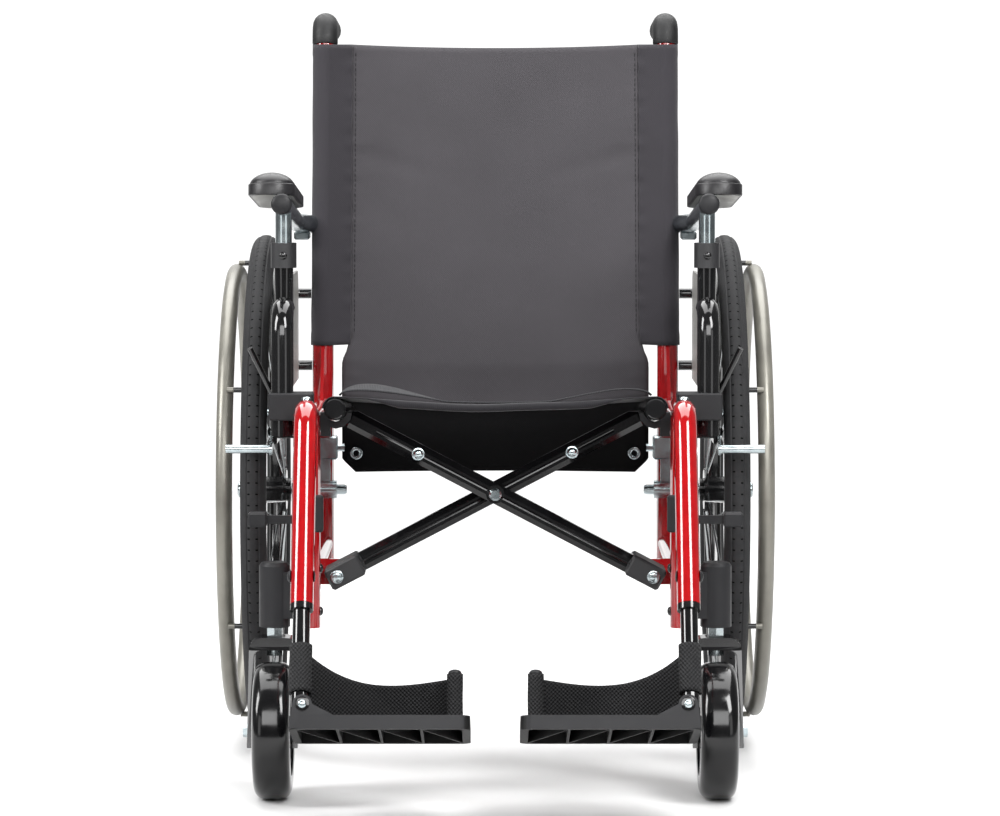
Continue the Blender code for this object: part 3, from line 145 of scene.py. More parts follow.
def surface(name, look):
    made = bpy.data.materials.new(name)
    made.use_nodes = True
    tree = made.node_tree
    shader = tree.nodes["Principled BSDF"].inputs
    for key, (socket, usual) in evenValues.items():
        shader[socket].default_value = look.get(key, usual)
    place = addNode(tree, "TexCoord", output="Object")
    axes = addNode(tree, "SeparateXYZ", (place,)).node.outputs
    cells = {"Vector": place, "Scale": 1 / look["mottle"], "Detail": mottling["detail"]}
    cloud = addNode(tree, "TexNoise", cells)
    rough = addNode(tree, "MapRange", (cloud, *mottling["span"], *look["rough"]))
    tree.links.new(rough, shader["Roughness"])
    cells = {"Vector": place, "Scale": 1 / look["grain"], "Detail": mottling["grainDetail"]}
    height = addNode(tree, "TexNoise", cells)
    layers = [(addNode(tree, "MapRange", (cloud, *mottling["span"])), look["light"])]
    if "weave" in look:
        threads = weaveHeight(tree, axes, look)
        height = addNode(tree, "Math", (threads, height), operation="ADD")
        share = addNode(tree, "MapRange", (threads, -1, 1, 0, look["tone"]))
        layers.append((share, look["thread"]))
    if "sipes" in look:
        cuts = sipeHeight(tree, axes, look["sipes"])
        deep = addNode(tree, "Math", (cuts, look["sipes"]["deep"]), operation="MULTIPLY")
        height = addNode(tree, "Math", (height, deep), operation="SUBTRACT")
        shine = addNode(tree, "MapRange", (cuts, 0, 1, look["specular"], 0))
        tree.links.new(shine, shader["Specular IOR Level"])
        # painted shade: the sipes' cuts are coloured near-black
        layers.append((cuts, look["sipes"]["colour"]))
    if "worn" in look:
        edge = addNode(tree, "NewGeometry", output="Pointiness")
        share = addNode(tree, "MapRange", (edge, *wear["edge"], 0, wear["share"]))
        layers.append((share, look["worn"]))
    colour = toLinear(look["dark"])
    for share, tone in layers:   # each tone is laid over the ones before it
        tones = {0: share, 6: colour, 7: toLinear(tone)}
        colour = addNode(tree, "Mix", tones, 2, data_type="RGBA")
    tree.links.new(colour, shader["Base Color"])
    relief = {"Height": height, "Strength": look["bump"], "Distance": look["relief"]}
    tree.links.new(addNode(tree, "Bump", relief), shader["Normal"])
    return made


def twoFinish(name, look, other, mask):
    # one solid that shows two real materials: mask gives the share of the second
    made = surface(name, look)
    tree = made.node_tree
    shader = tree.nodes["Principled BSDF"].inputs
    share = mask(tree, addNode(tree, "TexCoord", output="Object"))
    base = shader["Base Color"].links[0].from_socket
    rough = shader["Roughness"].links[0].from_socket
    tones = {0: share, 6: base, 7: toLinear(other["light"])}
    tree.links.new(addNode(tree, "Mix", tones, 2, data_type="RGBA"), shader["Base Color"])
    flat = addNode(tree, "Math", (share, sum(other["rough"]) / 2), operation="MULTIPLY")
    rest = addNode(tree, "Math", (1.0, share), operation="SUBTRACT")
    keep = addNode(tree, "Math", (rough, rest), operation="MULTIPLY")
    tree.links.new(addNode(tree, "Math", (keep, flat), operation="ADD"), shader["Roughness"])
    metals = (look.get("metallic", 0.0), other.get("metallic", 0.0))
    tree.links.new(addNode(tree, "MapRange", (share, 0, 1, *metals)), shader["Metallic"])
    return made


def reachFrom(tree, place, centre, weights):
    # distance from centre along the weighted axes, on both sides of the chair where centre is off its middle
    off = place
    if centre[0]:
        off = addNode(tree, "VectorMath", (off,), operation="ABSOLUTE")
    off = addNode(tree, "VectorMath", (off, centre), operation="SUBTRACT")
    off = addNode(tree, "VectorMath", (off, weights), operation="MULTIPLY")
    return addNode(tree, "VectorMath", (off,), "Value", operation="LENGTH")


# Where the solids of two materials change from one to the other, each pair a short fade
hubEdge = (0.0275, 0.0285)
fork = {"stemX": 0.2454, "nutReach": (0.0112, 0.0106), "nutTop": (0.1619, 0.1615),
        "nutFoot": (0.1535, 0.1540), "topNut": (0.1763, 0.1767)}
braceSocket = {"x": rail["x"], "z": 0.238, "reach": (0.0330, 0.0322)}
collarFoot = (0.5828, 0.5832)
studEnd = (0.2992, 0.2988)
footplate = {"rimBack": (-0.0325, -0.0318), "treadUnder": (-0.0126, -0.0132)}


def spokesOnly(tree, place):
    reach = reachFrom(tree, place, (0, axleY, wheelRadius), (0, 1, 1))
    return addNode(tree, "MapRange", (reach, *hubEdge))


def nutsOnly(tree, place):
    height = addNode(tree, "SeparateXYZ", (place,), "Z")
    reach = reachFrom(tree, place, (fork["stemX"], 0, 0), (1, 0, 0))
    lowNut = addNode(tree, "MapRange", (reach, *fork["nutReach"]))
    for edge in ("nutTop", "nutFoot"):
        share = addNode(tree, "MapRange", (height, *fork[edge]))
        lowNut = addNode(tree, "Math", (lowNut, share), operation="MULTIPLY")
    topNut = addNode(tree, "MapRange", (height, *fork["topNut"]))
    return addNode(tree, "Math", (lowNut, topNut), operation="MAXIMUM")


def socketsOnly(tree, place):
    reach = reachFrom(tree, place, (braceSocket["x"], 0, braceSocket["z"]), (1, 0, 1))
    return addNode(tree, "MapRange", (reach, *braceSocket["reach"]))


def collarOnly(tree, place):
    height = addNode(tree, "SeparateXYZ", (place,), "Z")
    return addNode(tree, "MapRange", (height, *collarFoot))


def studsOnly(tree, place):
    width = addNode(tree, "SeparateXYZ", (place,), "X")
    out = addNode(tree, "Math", (width,), operation="ABSOLUTE")
    return addNode(tree, "MapRange", (out, *studEnd))


def paintedShadeUnderside(tree, place):
    # painted shade: behind the front rim and below the tread, in the footplate's own tilted axes, the plastic
    # goes near-black
    lean = (math.cos(foot["tilt"]), math.sin(foot["tilt"]))
    hinge = (0, foot["y"], foot["z"])
    off = addNode(tree, "VectorMath", (place, hinge), operation="SUBTRACT")
    shares = []
    for axis, edge in (((0, lean[0], -lean[1]), "rimBack"), ((0, lean[1], lean[0]), "treadUnder")):
        along = addNode(tree, "VectorMath", (off, axis), "Value", operation="DOT_PRODUCT")
        shares.append(addNode(tree, "MapRange", (along, *footplate[edge])))
    return addNode(tree, "Math", shares, operation="MULTIPLY")


# Mottle and grain are the sizes of a patch and of a grain in metres, and relief is how deep the grain goes.
# Weave is the distance between threads. Real canvas has about 0.5 mm and webbing 1 mm: both are drawn
# coarser, so that they show.
canvas = {"grain": 0.000714, "rough": (0.8, 0.92), "specular": 0.2, "bump": 0.2, "relief": 0.0006,
          "weave": 0.0022, "tone": 0.2}
looks = {
    # candy-red powder coat, glossy with a faint flake
    "candyRedPaint": {"dark": "#7e0207", "light": "#8e040a", "mottle": 0.01667, "grain": 0.00111,
                      "rough": (0.08, 0.12), "specular": 0.4, "coat": 0.7, "bump": 0.015, "relief": 0.0002},
    # gloss black enamel on steel tube, a little greyer where edges are rubbed
    "glossBlackPaint": {"dark": "#070708", "light": "#0c0c0d", "mottle": 0.025, "grain": 0.00143,
                        "rough": (0.08, 0.13), "specular": 0.5, "bump": 0.02, "relief": 0.0002,
                        "worn": "#161617"},
    # grey glass-filled nylon mouldings with a matt grain
    "greyMouldedPlastic": {"dark": "#121214", "light": "#18181a", "mottle": 0.0111, "grain": 0.000667,
                           "rough": (0.42, 0.55), "specular": 0.25, "bump": 0.18, "relief": 0.0004,
                           "worn": "#1e1e20"},
    # black rubber tyre, dull and cut with short sipes, whose cuts are painted near-black as shade
    "tyreRubber": {"dark": "#232324", "light": "#2c2c2d", "mottle": 0.00833, "grain": 0.000556,
                   "rough": (0.55, 0.75), "specular": 0.12, "bump": 0.4, "relief": 0.0006,
                   "sipes": {"count": 150.0, "at": 0.0046, "band": (0.0016, 0.00112), "wave": (0.90, 0.95),
                             "deep": 4.0, "colour": "#020202"}},
    # soft matt grip rubber
    "gripRubber": {"dark": "#0f0f10", "light": "#151516", "mottle": 0.00667, "grain": 0.000625,
                   "rough": (0.5, 0.65), "specular": 0.35, "bump": 0.2, "relief": 0.0004},
    # glossy solid caster tyre
    "casterUrethane": {"dark": "#070708", "light": "#0b0b0c", "mottle": 0.0143, "grain": 0.002,
                       "rough": (0.10, 0.18), "specular": 0.4, "bump": 0.02, "relief": 0.0002},
    # bright zinc plate with a faint blue passivation
    "zincPlate": {"dark": "#9aa5a9", "light": "#b6bfc1", "mottle": 0.0182, "grain": 0.00111,
                  "rough": (0.14, 0.26), "metallic": 1.0, "bump": 0.02, "relief": 0.0002},
    # satin titanium-grey coat of the handrim
    "satinTitanium": {"dark": "#6a6861", "light": "#7a7870", "mottle": 0.0333, "grain": 0.000833,
                      "rough": (0.30, 0.42), "metallic": 0.4, "bump": 0.05, "relief": 0.0002},
    # plain charcoal nylon canvas of the back, with a soft sheen
    "charcoalNylon": {**canvas, "dark": "#343235", "light": "#3b393c", "thread": "#424043", "axes": "XZ",
                      "mottle": 0.1, "sheen": 0.12},
    # the same canvas doubled round the canes, painted a little darker as shade
    "shadedSleeveNylon": {**canvas, "dark": "#252327", "light": "#2b292d", "thread": "#353337", "axes": "XZ",
                    "mottle": 0.0833, "sheen": 0.12},
    # the same canvas lying level on the seat, painted darker again as shade
    "shadedSeatNylon": {**canvas, "dark": "#18171a", "light": "#1d1c1f", "thread": "#242326", "axes": "XY",
                  "mottle": 0.0833, "sheen": 0.1},
    # cloth of the flap behind the seat, painted near-black as shade
    "shadedFlapNylon": {**canvas, "dark": "#080809", "light": "#0c0c0d", "thread": "#101011", "axes": "XZ",
                  "mottle": 0.0714, "specular": 0.1, "sheen": 0.02},
    # coarse black webbing of the heel loops
    "blackWebbing": {"dark": "#090909", "light": "#0e0e0f", "mottle": 0.01667, "grain": 0.00111,
                     "rough": (0.7, 0.85), "specular": 0.25, "bump": 0.8, "relief": 0.0012, "weave": 0.0044,
                     "axes": "XZ", "tone": 0.65, "thread": "#28282a"},
    # grey ribbed polyester strap
    "greyStrap": {"dark": "#202022", "light": "#28282a", "mottle": 0.0125, "grain": 0.00111,
                  "rough": (0.7, 0.85), "specular": 0.25, "bump": 0.5, "relief": 0.001, "weave": 0.0036,
                  "axes": "X", "tone": 0.5, "thread": "#3a3a3c"},
    # dark grained vinyl over foam
    "padVinyl": {"dark": "#151416", "light": "#1a191b", "mottle": 0.0143, "grain": 0.00143,
                 "rough": (0.34, 0.46), "specular": 0.35, "bump": 0.2, "relief": 0.0005},
    # pale grey sheet of the side panels and the armpads' bases
    "palePanelPlastic": {"dark": "#7d7c79", "light": "#8a8986", "mottle": 0.02, "grain": 0.000909,
                         "rough": (0.35, 0.5), "bump": 0.06, "relief": 0.0003},
    # dark sewing thread
    "sewingThread": {"dark": "#111012", "light": "#171618", "mottle": 0.00333, "grain": 0.0005,
                     "rough": (0.7, 0.85), "specular": 0.25, "bump": 0.2, "relief": 0.0003},
    # matt white studio floor
    "studioFloor": {"dark": "#cbcbcb", "light": "#d1d1d1", "mottle": 0.5, "grain": 0.025,
                    "rough": (0.85, 0.95), "specular": 0.1, "bump": 0.01, "relief": 0.0002},
}
steelSpoke = {"light": "#9a9d9e", "rough": (0.2, 0.3), "metallic": 1.0}
# painted shade for the footplates' underside, near-black on the same grey plastic
paintedShadePlastic = {"light": "#060606", "rough": (0.5, 0.6)}
pairs = {
    "hubAndSpokes": (looks["glossBlackPaint"], steelSpoke, spokesOnly),
    "forkAndNuts": (looks["glossBlackPaint"], looks["zincPlate"], nutsOnly),
    "braceAndSockets": (looks["glossBlackPaint"], looks["greyMouldedPlastic"], socketsOnly),
    "handrimAndStuds": (looks["satinTitanium"], looks["glossBlackPaint"], studsOnly),
    "footplatePlastic": (looks["greyMouldedPlastic"], paintedShadePlastic, paintedShadeUnderside),
    "armAndCollar": (looks["glossBlackPaint"], looks["greyMouldedPlastic"], collarOnly),
}
materials = {name: surface(name, look) for name, look in looks.items()}
materials.update({name: twoFinish(name, *pair) for name, pair in pairs.items()})

nodeLooks = {
    "side_frame": "candyRedPaint", "hanger_tube": "candyRedPaint", "axle_receiver": "zincPlate",
    "quick_release_axle": "zincPlate", "rear_hub": "hubAndSpokes", "caster_housing": "greyMouldedPlastic",
    "caster_fork": "forkAndNuts", "caster_hub": "greyMouldedPlastic", "caster_axle": "zincPlate",
    "hanger_latch": "greyMouldedPlastic", "footrest_extension": "glossBlackPaint",
    "footplate": "footplatePlastic", "arm_frame": "armAndCollar", "arm_tube": "zincPlate",
    "side_panel": "palePanelPlastic", "arm_socket": "greyMouldedPlastic",
    "wheel_lock_body": "glossBlackPaint", "wheel_lock_lever": "glossBlackPaint",
    "wheel_lock_shoe": "zincPlate", "seat_rail": "glossBlackPaint", "push_grip": "gripRubber",
}
wholeLooks = {"brace_a": "braceAndSockets", "brace_b": "braceAndSockets", "brace_pivot_bolt": "zincPlate"}
for side in sides:
    wholeLooks.update({side + "_" + node: look for node, look in nodeLooks.items()})


def smoothTubes(angle):
    # merges the loose triangles of a solid and shades them smooth, with every sharper edge kept crisp
    tree = bpy.data.node_groups.new("smoothTubes", "GeometryNodeTree")
    for way in ("INPUT", "OUTPUT"):
        tree.interface.new_socket("Geometry", in_out=way, socket_type="NodeSocketGeometry")
    start = addNode(tree, "NodeGroupInput")
    near = {"Geometry": start, "Distance": mergeGap["solid"]}
    joined = addNode(tree, "GeometryNodeMergeByDistance", near)
    bare = addNode(tree, "GeometryNodeRemoveAttribute", {"Geometry": joined, "Name": "custom_normal"})
    soft = addNode(tree, "GeometryNodeSetShadeSmooth", {0: bare, 2: True}, domain="FACE")
    turn = addNode(tree, "GeometryNodeInputMeshEdgeAngle")
    sharp = addNode(tree, "FunctionNodeCompare", (turn, angle), operation="GREATER_THAN")
    crisp = addNode(tree, "GeometryNodeSetShadeSmooth", (soft, sharp, False), domain="EDGE")
    addNode(tree, "NodeGroupOutput", (crisp,))
    return tree


# Slim tubes have fewer sides, so their facets meet at wider angles
crispAngle = {"usual": math.radians(34), "slim": math.radians(50), "piece": math.radians(42)}
slimNodes = ("arm_frame", "wheel_lock_lever", "rear_hub")
shading = {kind: smoothTubes(crispAngle[kind]) for kind in ("usual", "slim")}
for name, look in wholeLooks.items():
    nodes[name].material_slots[0].material = materials[look]
    kind = "slim" if name.endswith(slimNodes) else "usual"
    nodes[name].modifiers.new("smoothTubes", "NODES").node_group = shading[kind]
print("stage: materials")


def newPiece(name, builder, look):
    bmesh.ops.recalc_face_normals(builder, faces=builder.faces)
    mesh = bpy.data.meshes.new(name)
    builder.to_mesh(mesh)
    builder.free()
    mesh.shade_smooth()
    mesh.set_sharp_from_angle(angle=crispAngle["piece"])
    piece = bpy.data.objects.new(name, mesh)
    bpy.context.scene.collection.objects.link(piece)
    mesh.materials.append(materials[look])
    return piece


def placed(piece, body, slot, *replaced):
    if replaced:
        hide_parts(*replaced)
    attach(piece, body)
    return piece


def spun(builder, profile, centre, axis, steps):
    # profile reads (along, radius) about the axis through centre, and closes on itself where it has a bore
    axis = Vector(axis).normalized()
    out = axis.orthogonal().normalized()
    ring = [builder.verts.new(Vector(centre) + axis * along + out * radius) for along, radius in profile]
    bored = profile[0][1] > 0 and profile[-1][1] > 0
    joints = list(zip(ring, ring[1:])) + ([(ring[-1], ring[0])] if bored else [])
    edges = [builder.edges.new(joint) for joint in joints]
    bmesh.ops.spin(builder, geom=ring + edges, cent=centre, axis=axis, angle=2 * math.pi, steps=steps,
                   use_merge=True)
    bmesh.ops.remove_doubles(builder, verts=builder.verts, dist=mergeGap["piece"])


# Heads of screws and bolts: steps of each turned shape, and shares of its radius or height
head = {"arcs": 5, "steps": 20, "washerSteps": 28, "washerWall": 0.7, "washerTop": 0.93, "hexBevel": 0.09,
        "hexRim": 0.9}


def domeHead(builder, centre, direction, radius, height):
    arcs = [math.pi / 2 * i / head["arcs"] for i in range(1, head["arcs"])]
    profile = [(0.0, 0.0), (0.0, radius)] + [(height * math.sin(a), radius * math.cos(a)) for a in arcs]
    spun(builder, profile + [(height, 0.0)], centre, direction, head["steps"])


def hexHead(builder, centre, direction, radius, height):
    direction = Vector(direction).normalized()
    place = Matrix.Translation(Vector(centre) + direction * height / 2)
    place = place @ direction.to_track_quat("Z", "Y").to_matrix().to_4x4()
    made = bmesh.ops.create_cone(builder, cap_ends=True, segments=6, radius1=radius, radius2=radius,
                                 depth=height, matrix=place)
    edges = {edge for vertex in made["verts"] for edge in vertex.link_edges}
    rims = [edge for edge in edges if edge.calc_length() > radius * head["hexRim"]]
    bmesh.ops.bevel(builder, geom=rims, offset=radius * head["hexBevel"], segments=2, profile=0.5,
                    affect="EDGES", material=-1)


def washer(builder, centre, direction, radius, hole, height):
    profile = [(0, hole), (0, radius), (height * head["washerWall"], radius),
               (height, radius * head["washerTop"]), (height, hole)]
    spun(builder, profile, centre, direction, head["washerSteps"])


# Rear tyres, rims and handrims, rounder than the faceted solids
tyre = {"section": 0.015, "grooveAt": 0.0064, "grooveHalf": 0.0007, "grooveDeep": 0.0010, "points": 56,
        "steps": 160}
rim = {"half": 0.0105, "bead": 0.0002, "beadDown": 0.003, "wall": 0.0062, "bedHalf": 0.0075,
       "bedRise": 0.0012, "bottomHalf": 0.005, "deep": 0.0137, "gap": 0.0003, "steps": 128}
hoop = {"inset": 0.044, "x": 0.309, "tube": 0.0095, "points": 18, "steps": 160}
stud = {"count": 6, "radius": 0.0032, "down": 0.0032, "gap": 0.0003, "flange": 0.0048, "flangeThick": 0.0014,
        "taper": 0.003, "short": 0.003, "steps": 14}
rimRadius = wheelRadius - 2 * tyre["section"] - rim["gap"]


def tyreProfile():
    profile = []
    for i in range(tyre["points"]):
        turn = 2 * math.pi * i / tyre["points"]
        across = tyre["section"] * math.sin(turn)
        inGroove = abs(abs(across) - tyre["grooveAt"]) < tyre["grooveHalf"] and math.cos(turn) > 0
        reach = tyre["section"] * math.cos(turn) - (tyre["grooveDeep"] if inGroove else 0.0)
        profile.append((across, wheelRadius - tyre["section"] + reach))
    return profile


def rimProfile():
    inner = rimRadius - rim["deep"]
    half = [(rim["half"], rimRadius), (rim["half"] + rim["bead"], rimRadius - rim["beadDown"]),
            (rim["half"], rimRadius - rim["wall"]), (rim["bedHalf"], inner + rim["bedRise"]),
            (rim["bottomHalf"], inner)]
    return half + [(-along, out) for along, out in reversed(half)]


def hoopProfile():
    turns = [2 * math.pi * i / hoop["points"] for i in range(hoop["points"])]
    radius = wheelRadius - hoop["inset"]
    return [(hoop["tube"] * math.cos(a), radius + hoop["tube"] * math.sin(a)) for a in turns]


def addStuds(builder, sign):
    reach = rimRadius - stud["down"]
    length = hoop["x"] - wheelX - rim["half"] - stud["short"]
    profile = [(0, 0), (0, stud["flange"]), (stud["flangeThick"], stud["flange"]),
               (stud["taper"], stud["radius"]), (length, stud["radius"]), (length, 0)]
    for i in range(stud["count"]):
        turn = 2 * math.pi * (i + 0.5) / stud["count"]
        base = Vector((sign * (wheelX + rim["half"] + stud["gap"]), axleY + reach * math.cos(turn),
                       wheelRadius + reach * math.sin(turn)))
        spun(builder, profile, base, (sign, 0, 0), stud["steps"])


for side, sign in sides.items():
    body = side + "_wheel"
    centre = (sign * wheelX, axleY, wheelRadius)
    builder = bmesh.new()
    spun(builder, tyreProfile(), centre, (1, 0, 0), tyre["steps"])
    placed(newPiece(side + "RearTyre", builder, "tyreRubber"), body, "tyre", side + "_rear_tyre")
    builder = bmesh.new()
    spun(builder, rimProfile(), centre, (1, 0, 0), rim["steps"])
    placed(newPiece(side + "RearRim", builder, "glossBlackPaint"), body, "black_paint", side + "_rear_rim")
    builder = bmesh.new()
    spun(builder, hoopProfile(), (sign * hoop["x"], axleY, wheelRadius), (1, 0, 0), hoop["steps"])
    addStuds(builder, sign)
    placed(newPiece(side + "Handrim", builder, "handrimAndStuds"), body, "satin_titanium", side + "_handrim")

# Caster tyres with a rounded tread
casterTyre = {"half": 0.021, "foot": 0.97, "lip": 0.002, "inner": 0.050, "crown": 0.018, "sidePower": 0.55,
              "crownPower": 0.8, "points": 12, "steps": 96}


def casterProfile(radius):
    half = [(casterTyre["half"] * casterTyre["foot"], casterTyre["inner"]),
            (casterTyre["half"], casterTyre["inner"] + casterTyre["lip"])]
    for i in range(casterTyre["points"]):
        turn = math.radians(90 * i / casterTyre["points"])
        drop = casterTyre["crown"] * (1 - math.sin(turn) ** casterTyre["crownPower"])
        half.append((casterTyre["half"] * math.cos(turn) ** casterTyre["sidePower"], radius - drop))
    return half + [(0.0, radius)] + [(-along, out) for along, out in reversed(half)]


for side in sides:
    low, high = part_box(side + "_caster_tyre")
    builder = bmesh.new()
    spun(builder, casterProfile((high.z - low.z) / 2), (low + high) / 2, (1, 0, 0), casterTyre["steps"])
    placed(newPiece(side + "CasterTyre", builder, "casterUrethane"), side + "_caster_wheel", "urethane",
           side + "_caster_tyre")

# Push grips: ribbed rubber over the bent end of each cane. Shares are of the grip's radius.
grip = {"low": 0.8372, "radius": 0.0155, "rise": 0.020, "length": 0.118, "fall": 0.006, "bend": 0.016,
        "bendSteps": 8, "lip": 0.0022, "lipShare": 0.92, "ribs": 6, "ribSteps": 8, "ribDeep": 0.05,
        "ribFrom": 0.018, "ribTo": 0.006, "nose": ((0.004, 0.98), (0.001, 0.8), (0.0, 0.5)), "rounding": 8}


def gripPath(sign):
    lean = Vector((0, cane["recline"], 1)).normalized()
    rear = Vector((0, grip["length"], -grip["fall"])).normalized()
    start = Vector((sign * cane["x"], caneY(grip["low"]), grip["low"]))
    corner = start + lean * ((cane["topZ"] + grip["rise"] - grip["low"]) / lean.z)
    path = [(start, grip["lipShare"]), (start + lean * grip["lip"], 1.0)]
    for i in range(grip["bendSteps"] + 1):
        share = i / grip["bendSteps"]
        before = (corner - lean * grip["bend"]).lerp(corner, share)
        after = corner.lerp(corner + rear * grip["bend"], share)
        path.append((before.lerp(after, share), 1.0))
    count = grip["ribs"] * grip["ribSteps"]
    for i in range(1, count):
        along = grip["ribFrom"] + (grip["length"] - grip["ribFrom"] - grip["ribTo"]) * i / count
        swell = 1 - grip["ribDeep"] * (1 - math.cos(2 * math.pi * i / grip["ribSteps"]))
        path.append((corner + rear * along, swell))
    return path + [(corner + rear * (grip["length"] - short), share) for short, share in grip["nose"]]


for side, sign in sides.items():
    path = gripPath(sign)
    curve = bpy.data.curves.new(side + "GripPath", "CURVE")
    curve.dimensions = "3D"
    curve.bevel_depth = grip["radius"]
    curve.bevel_resolution = grip["rounding"]
    curve.use_fill_caps = True
    line = curve.splines.new("POLY")
    line.points.add(len(path) - 1)
    for point, (spot, share) in zip(line.points, path):
        point.co = (*spot, 1)
        point.radius = share
    carrier = bpy.data.objects.new(side + "GripPath", curve)
    bpy.context.scene.collection.objects.link(carrier)
    made = carrier.evaluated_get(bpy.context.evaluated_depsgraph_get())
    builder = bmesh.new()
    builder.from_mesh(bpy.data.meshes.new_from_object(made))
    bpy.data.objects.remove(carrier)
    placed(newPiece(side + "PushGrip", builder, "gripRubber"), side + "_frame", "grip_rubber",
           side + "_push_grip")
print("stage: wheels and grips")


def clothPiece(name, columns, rows, point, look, thick):
    # a flat grid of cloth, each point laid where point(u, v) says, u and v from 0 to 1
    builder = bmesh.new()
    bmesh.ops.create_grid(builder, x_segments=columns, y_segments=rows, size=0.5)
    for vertex in builder.verts:
        vertex.co = point(clamped(vertex.co.x + 0.5), clamped(vertex.co.y + 0.5))
    bmesh.ops.remove_doubles(builder, verts=builder.verts, dist=mergeGap["piece"])
    piece = newPiece(name, builder, look)
    shell = piece.modifiers.new("cloth", "SOLIDIFY")
    shell.thickness = thick
    shell.offset = 0
    return piece


# Loose creases in stretched cloth, longer up the cloth than across it
creases = {"stretch": 0.45, "cut": 3.1}


def crease(x, z, scale, size):
    return size * noise.noise(Vector((x * scale, z * scale * creases["stretch"], creases["cut"])))


# Back upholstery: a flat-sewn sleeve round each cane and the panel stitched between the two seams
back = {"top": 0.838, "low": 0.477, "hidden": 0.400, "seamX": 0.174, "seamY": 0.004, "thick": 0.0012,
        "sag": 0.022, "sagPower": 2.4, "stand": 0.0008, "curve": 0.014, "curvePower": 6, "dip": 0.004,
        "dipPower": 8, "skirt": 0.0105, "skirtRun": 3, "creaseScale": 9, "creaseSize": 0.0028}
backFold = {"size": 0.0030, "z": 0.66, "slope": 0.05, "half": 0.010}
puckers = {"size": 0.0010, "pitch": 0.019, "secondPitch": 0.0317, "secondSize": 0.6, "shift": 1.1,
           "reach": 0.07, "onPanel": 0.6, "onSleeve": 0.3}
sleeve = {"radius": 0.0141, "flat": 0.3, "hem": 0.0005, "hemEnds": (0.04, 0.965), "slack": 0.0004,
          "slackAcross": 3, "slackUp": 30, "ply": 0.0006}


def pucker(z):
    first = math.sin(z * 2 * math.pi / puckers["pitch"])
    second = math.sin(z * 2 * math.pi / puckers["secondPitch"] + puckers["shift"])
    return puckers["size"] * (first + puckers["secondSize"] * second)


def panelPoint(u, v):
    z = back["hidden"] + (back["top"] - back["hidden"]) * v
    below = max(0.0, back["low"] - z) / (back["low"] - back["hidden"])
    x = (back["seamX"] + back["skirt"] * min(1.0, below * back["skirtRun"])) * (2 * u - 1)
    share = min(1.0, abs(x) / back["seamX"])
    edge = math.exp(-((1 - share) / puckers["reach"]) ** 2)
    sag = back["sag"] * (1 - share ** back["sagPower"])
    offFold = (z - backFold["z"] - backFold["slope"] * share) / backFold["half"]
    fold = backFold["size"] * math.exp(-offFold ** 2) * share ** 2 * (1 - edge)
    y = caneY(z) + back["seamY"] + back["stand"] + sag + edge * pucker(z) * puckers["onPanel"]
    z += back["curve"] * share ** 2 * (1 - v) ** back["curvePower"]
    z -= back["dip"] * (1 - share ** 2) * v ** back["dipPower"]
    loose = crease(x, z, back["creaseScale"], back["creaseSize"]) * (1 - share ** 4)
    return Vector((x, y + fold + loose, z))


panel = placed(clothPiece("backPanel", 72, 64, panelPoint, "charcoalNylon", back["thick"]), "left_frame",
               "fabric", "back_upholstery")
seamGap = cane["x"] - back["seamX"]
tangent = math.acos(sleeve["radius"] / seamGap)
for side, sign in sides.items():
    def sleevePoint(u, v):
        # flat from the seam to the cane, once round it, and flat back to the seam
        z = back["low"] + (back["top"] - back["low"]) * v
        hem = 0.0 if sleeve["hemEnds"][0] <= v <= sleeve["hemEnds"][1] else sleeve["hem"]
        loose = noise.noise(Vector((u * sleeve["slackAcross"], z * sleeve["slackUp"], sign)))
        radius = sleeve["radius"] + hem + sleeve["slack"] * loose
        wrapped = clamped((u - sleeve["flat"]) / (1 - 2 * sleeve["flat"]))
        turn = tangent + (2 * math.pi - 2 * tangent) * wrapped
        onTube = Vector((-radius * math.cos(turn), -radius * math.sin(turn)))
        share = min(1.0, min(u, 1 - u) / sleeve["flat"])
        inFront = u < 0.5
        seam = Vector((-seamGap, back["seamY"] + (-sleeve["ply"] if inFront else sleeve["ply"])))
        flat = seam.lerp(onTube, share)
        ripple = math.exp(-(share / puckers["onSleeve"]) ** 2) * pucker(z) if inFront else 0.0
        return Vector((sign * (cane["x"] + flat.x), caneY(z) + flat.y + ripple, z))
    made = clothPiece(side + "BackSleeve", 64, 64, sleevePoint, "shadedSleeveNylon", back["thick"])
    placed(made, side + "_frame", "fabric")

# The flap that hangs from the panel behind the seat, with cut lower corners and narrowed at the top
flap = {"half": 0.185, "low": 0.322, "high": 0.492, "cut": 0.016, "narrow": 0.012, "narrowZ": 0.45,
        "behind": 0.0065, "creaseScale": 14, "creaseSize": 0.004}


def flapPoint(u, v):
    z = flap["low"] + (flap["high"] - flap["low"]) * v
    half = flap["half"] - flap["cut"] * max(0.0, 1 - (z - flap["low"]) / flap["cut"])
    half -= flap["narrow"] * max(0.0, (z - flap["narrowZ"]) / (flap["high"] - flap["narrowZ"]))
    x = half * (2 * u - 1)
    sag = back["sag"] * (1 - (abs(x) / flap["half"]) ** back["sagPower"])
    y = caneY(back["low"]) + back["seamY"] + flap["behind"] + sag
    return Vector((x, y + crease(x, z, flap["creaseScale"], flap["creaseSize"]) * (1 - v) ** 2, z))


lowerFlap = placed(clothPiece("backFlap", 60, 40, flapPoint, "shadedFlapNylon", back["thick"]), "left_frame",
                   "fabric")

# Seat sling from rail to rail, with a rolled front hem, and its edges turned down over the rails
seat = {"front": -0.396, "back": 0.008, "sag": 0.0085, "sagPower": 1.5, "wrap": 0.0137, "thick": 0.0012,
        "hem": 0.0037, "flatHem": 0.0001, "hemEnd": 0.8, "hemRun": 0.2, "hemRows": 0.08, "creaseScale": 11,
        "creaseSize": 0.0024, "edgeFrom": 4, "edgeTurn": 86}
seatFront = axleY + seat["front"]
seatDepth = seat["back"] - seat["front"]


def slack(share):
    return (1 - share ** 2) ** seat["sagPower"]


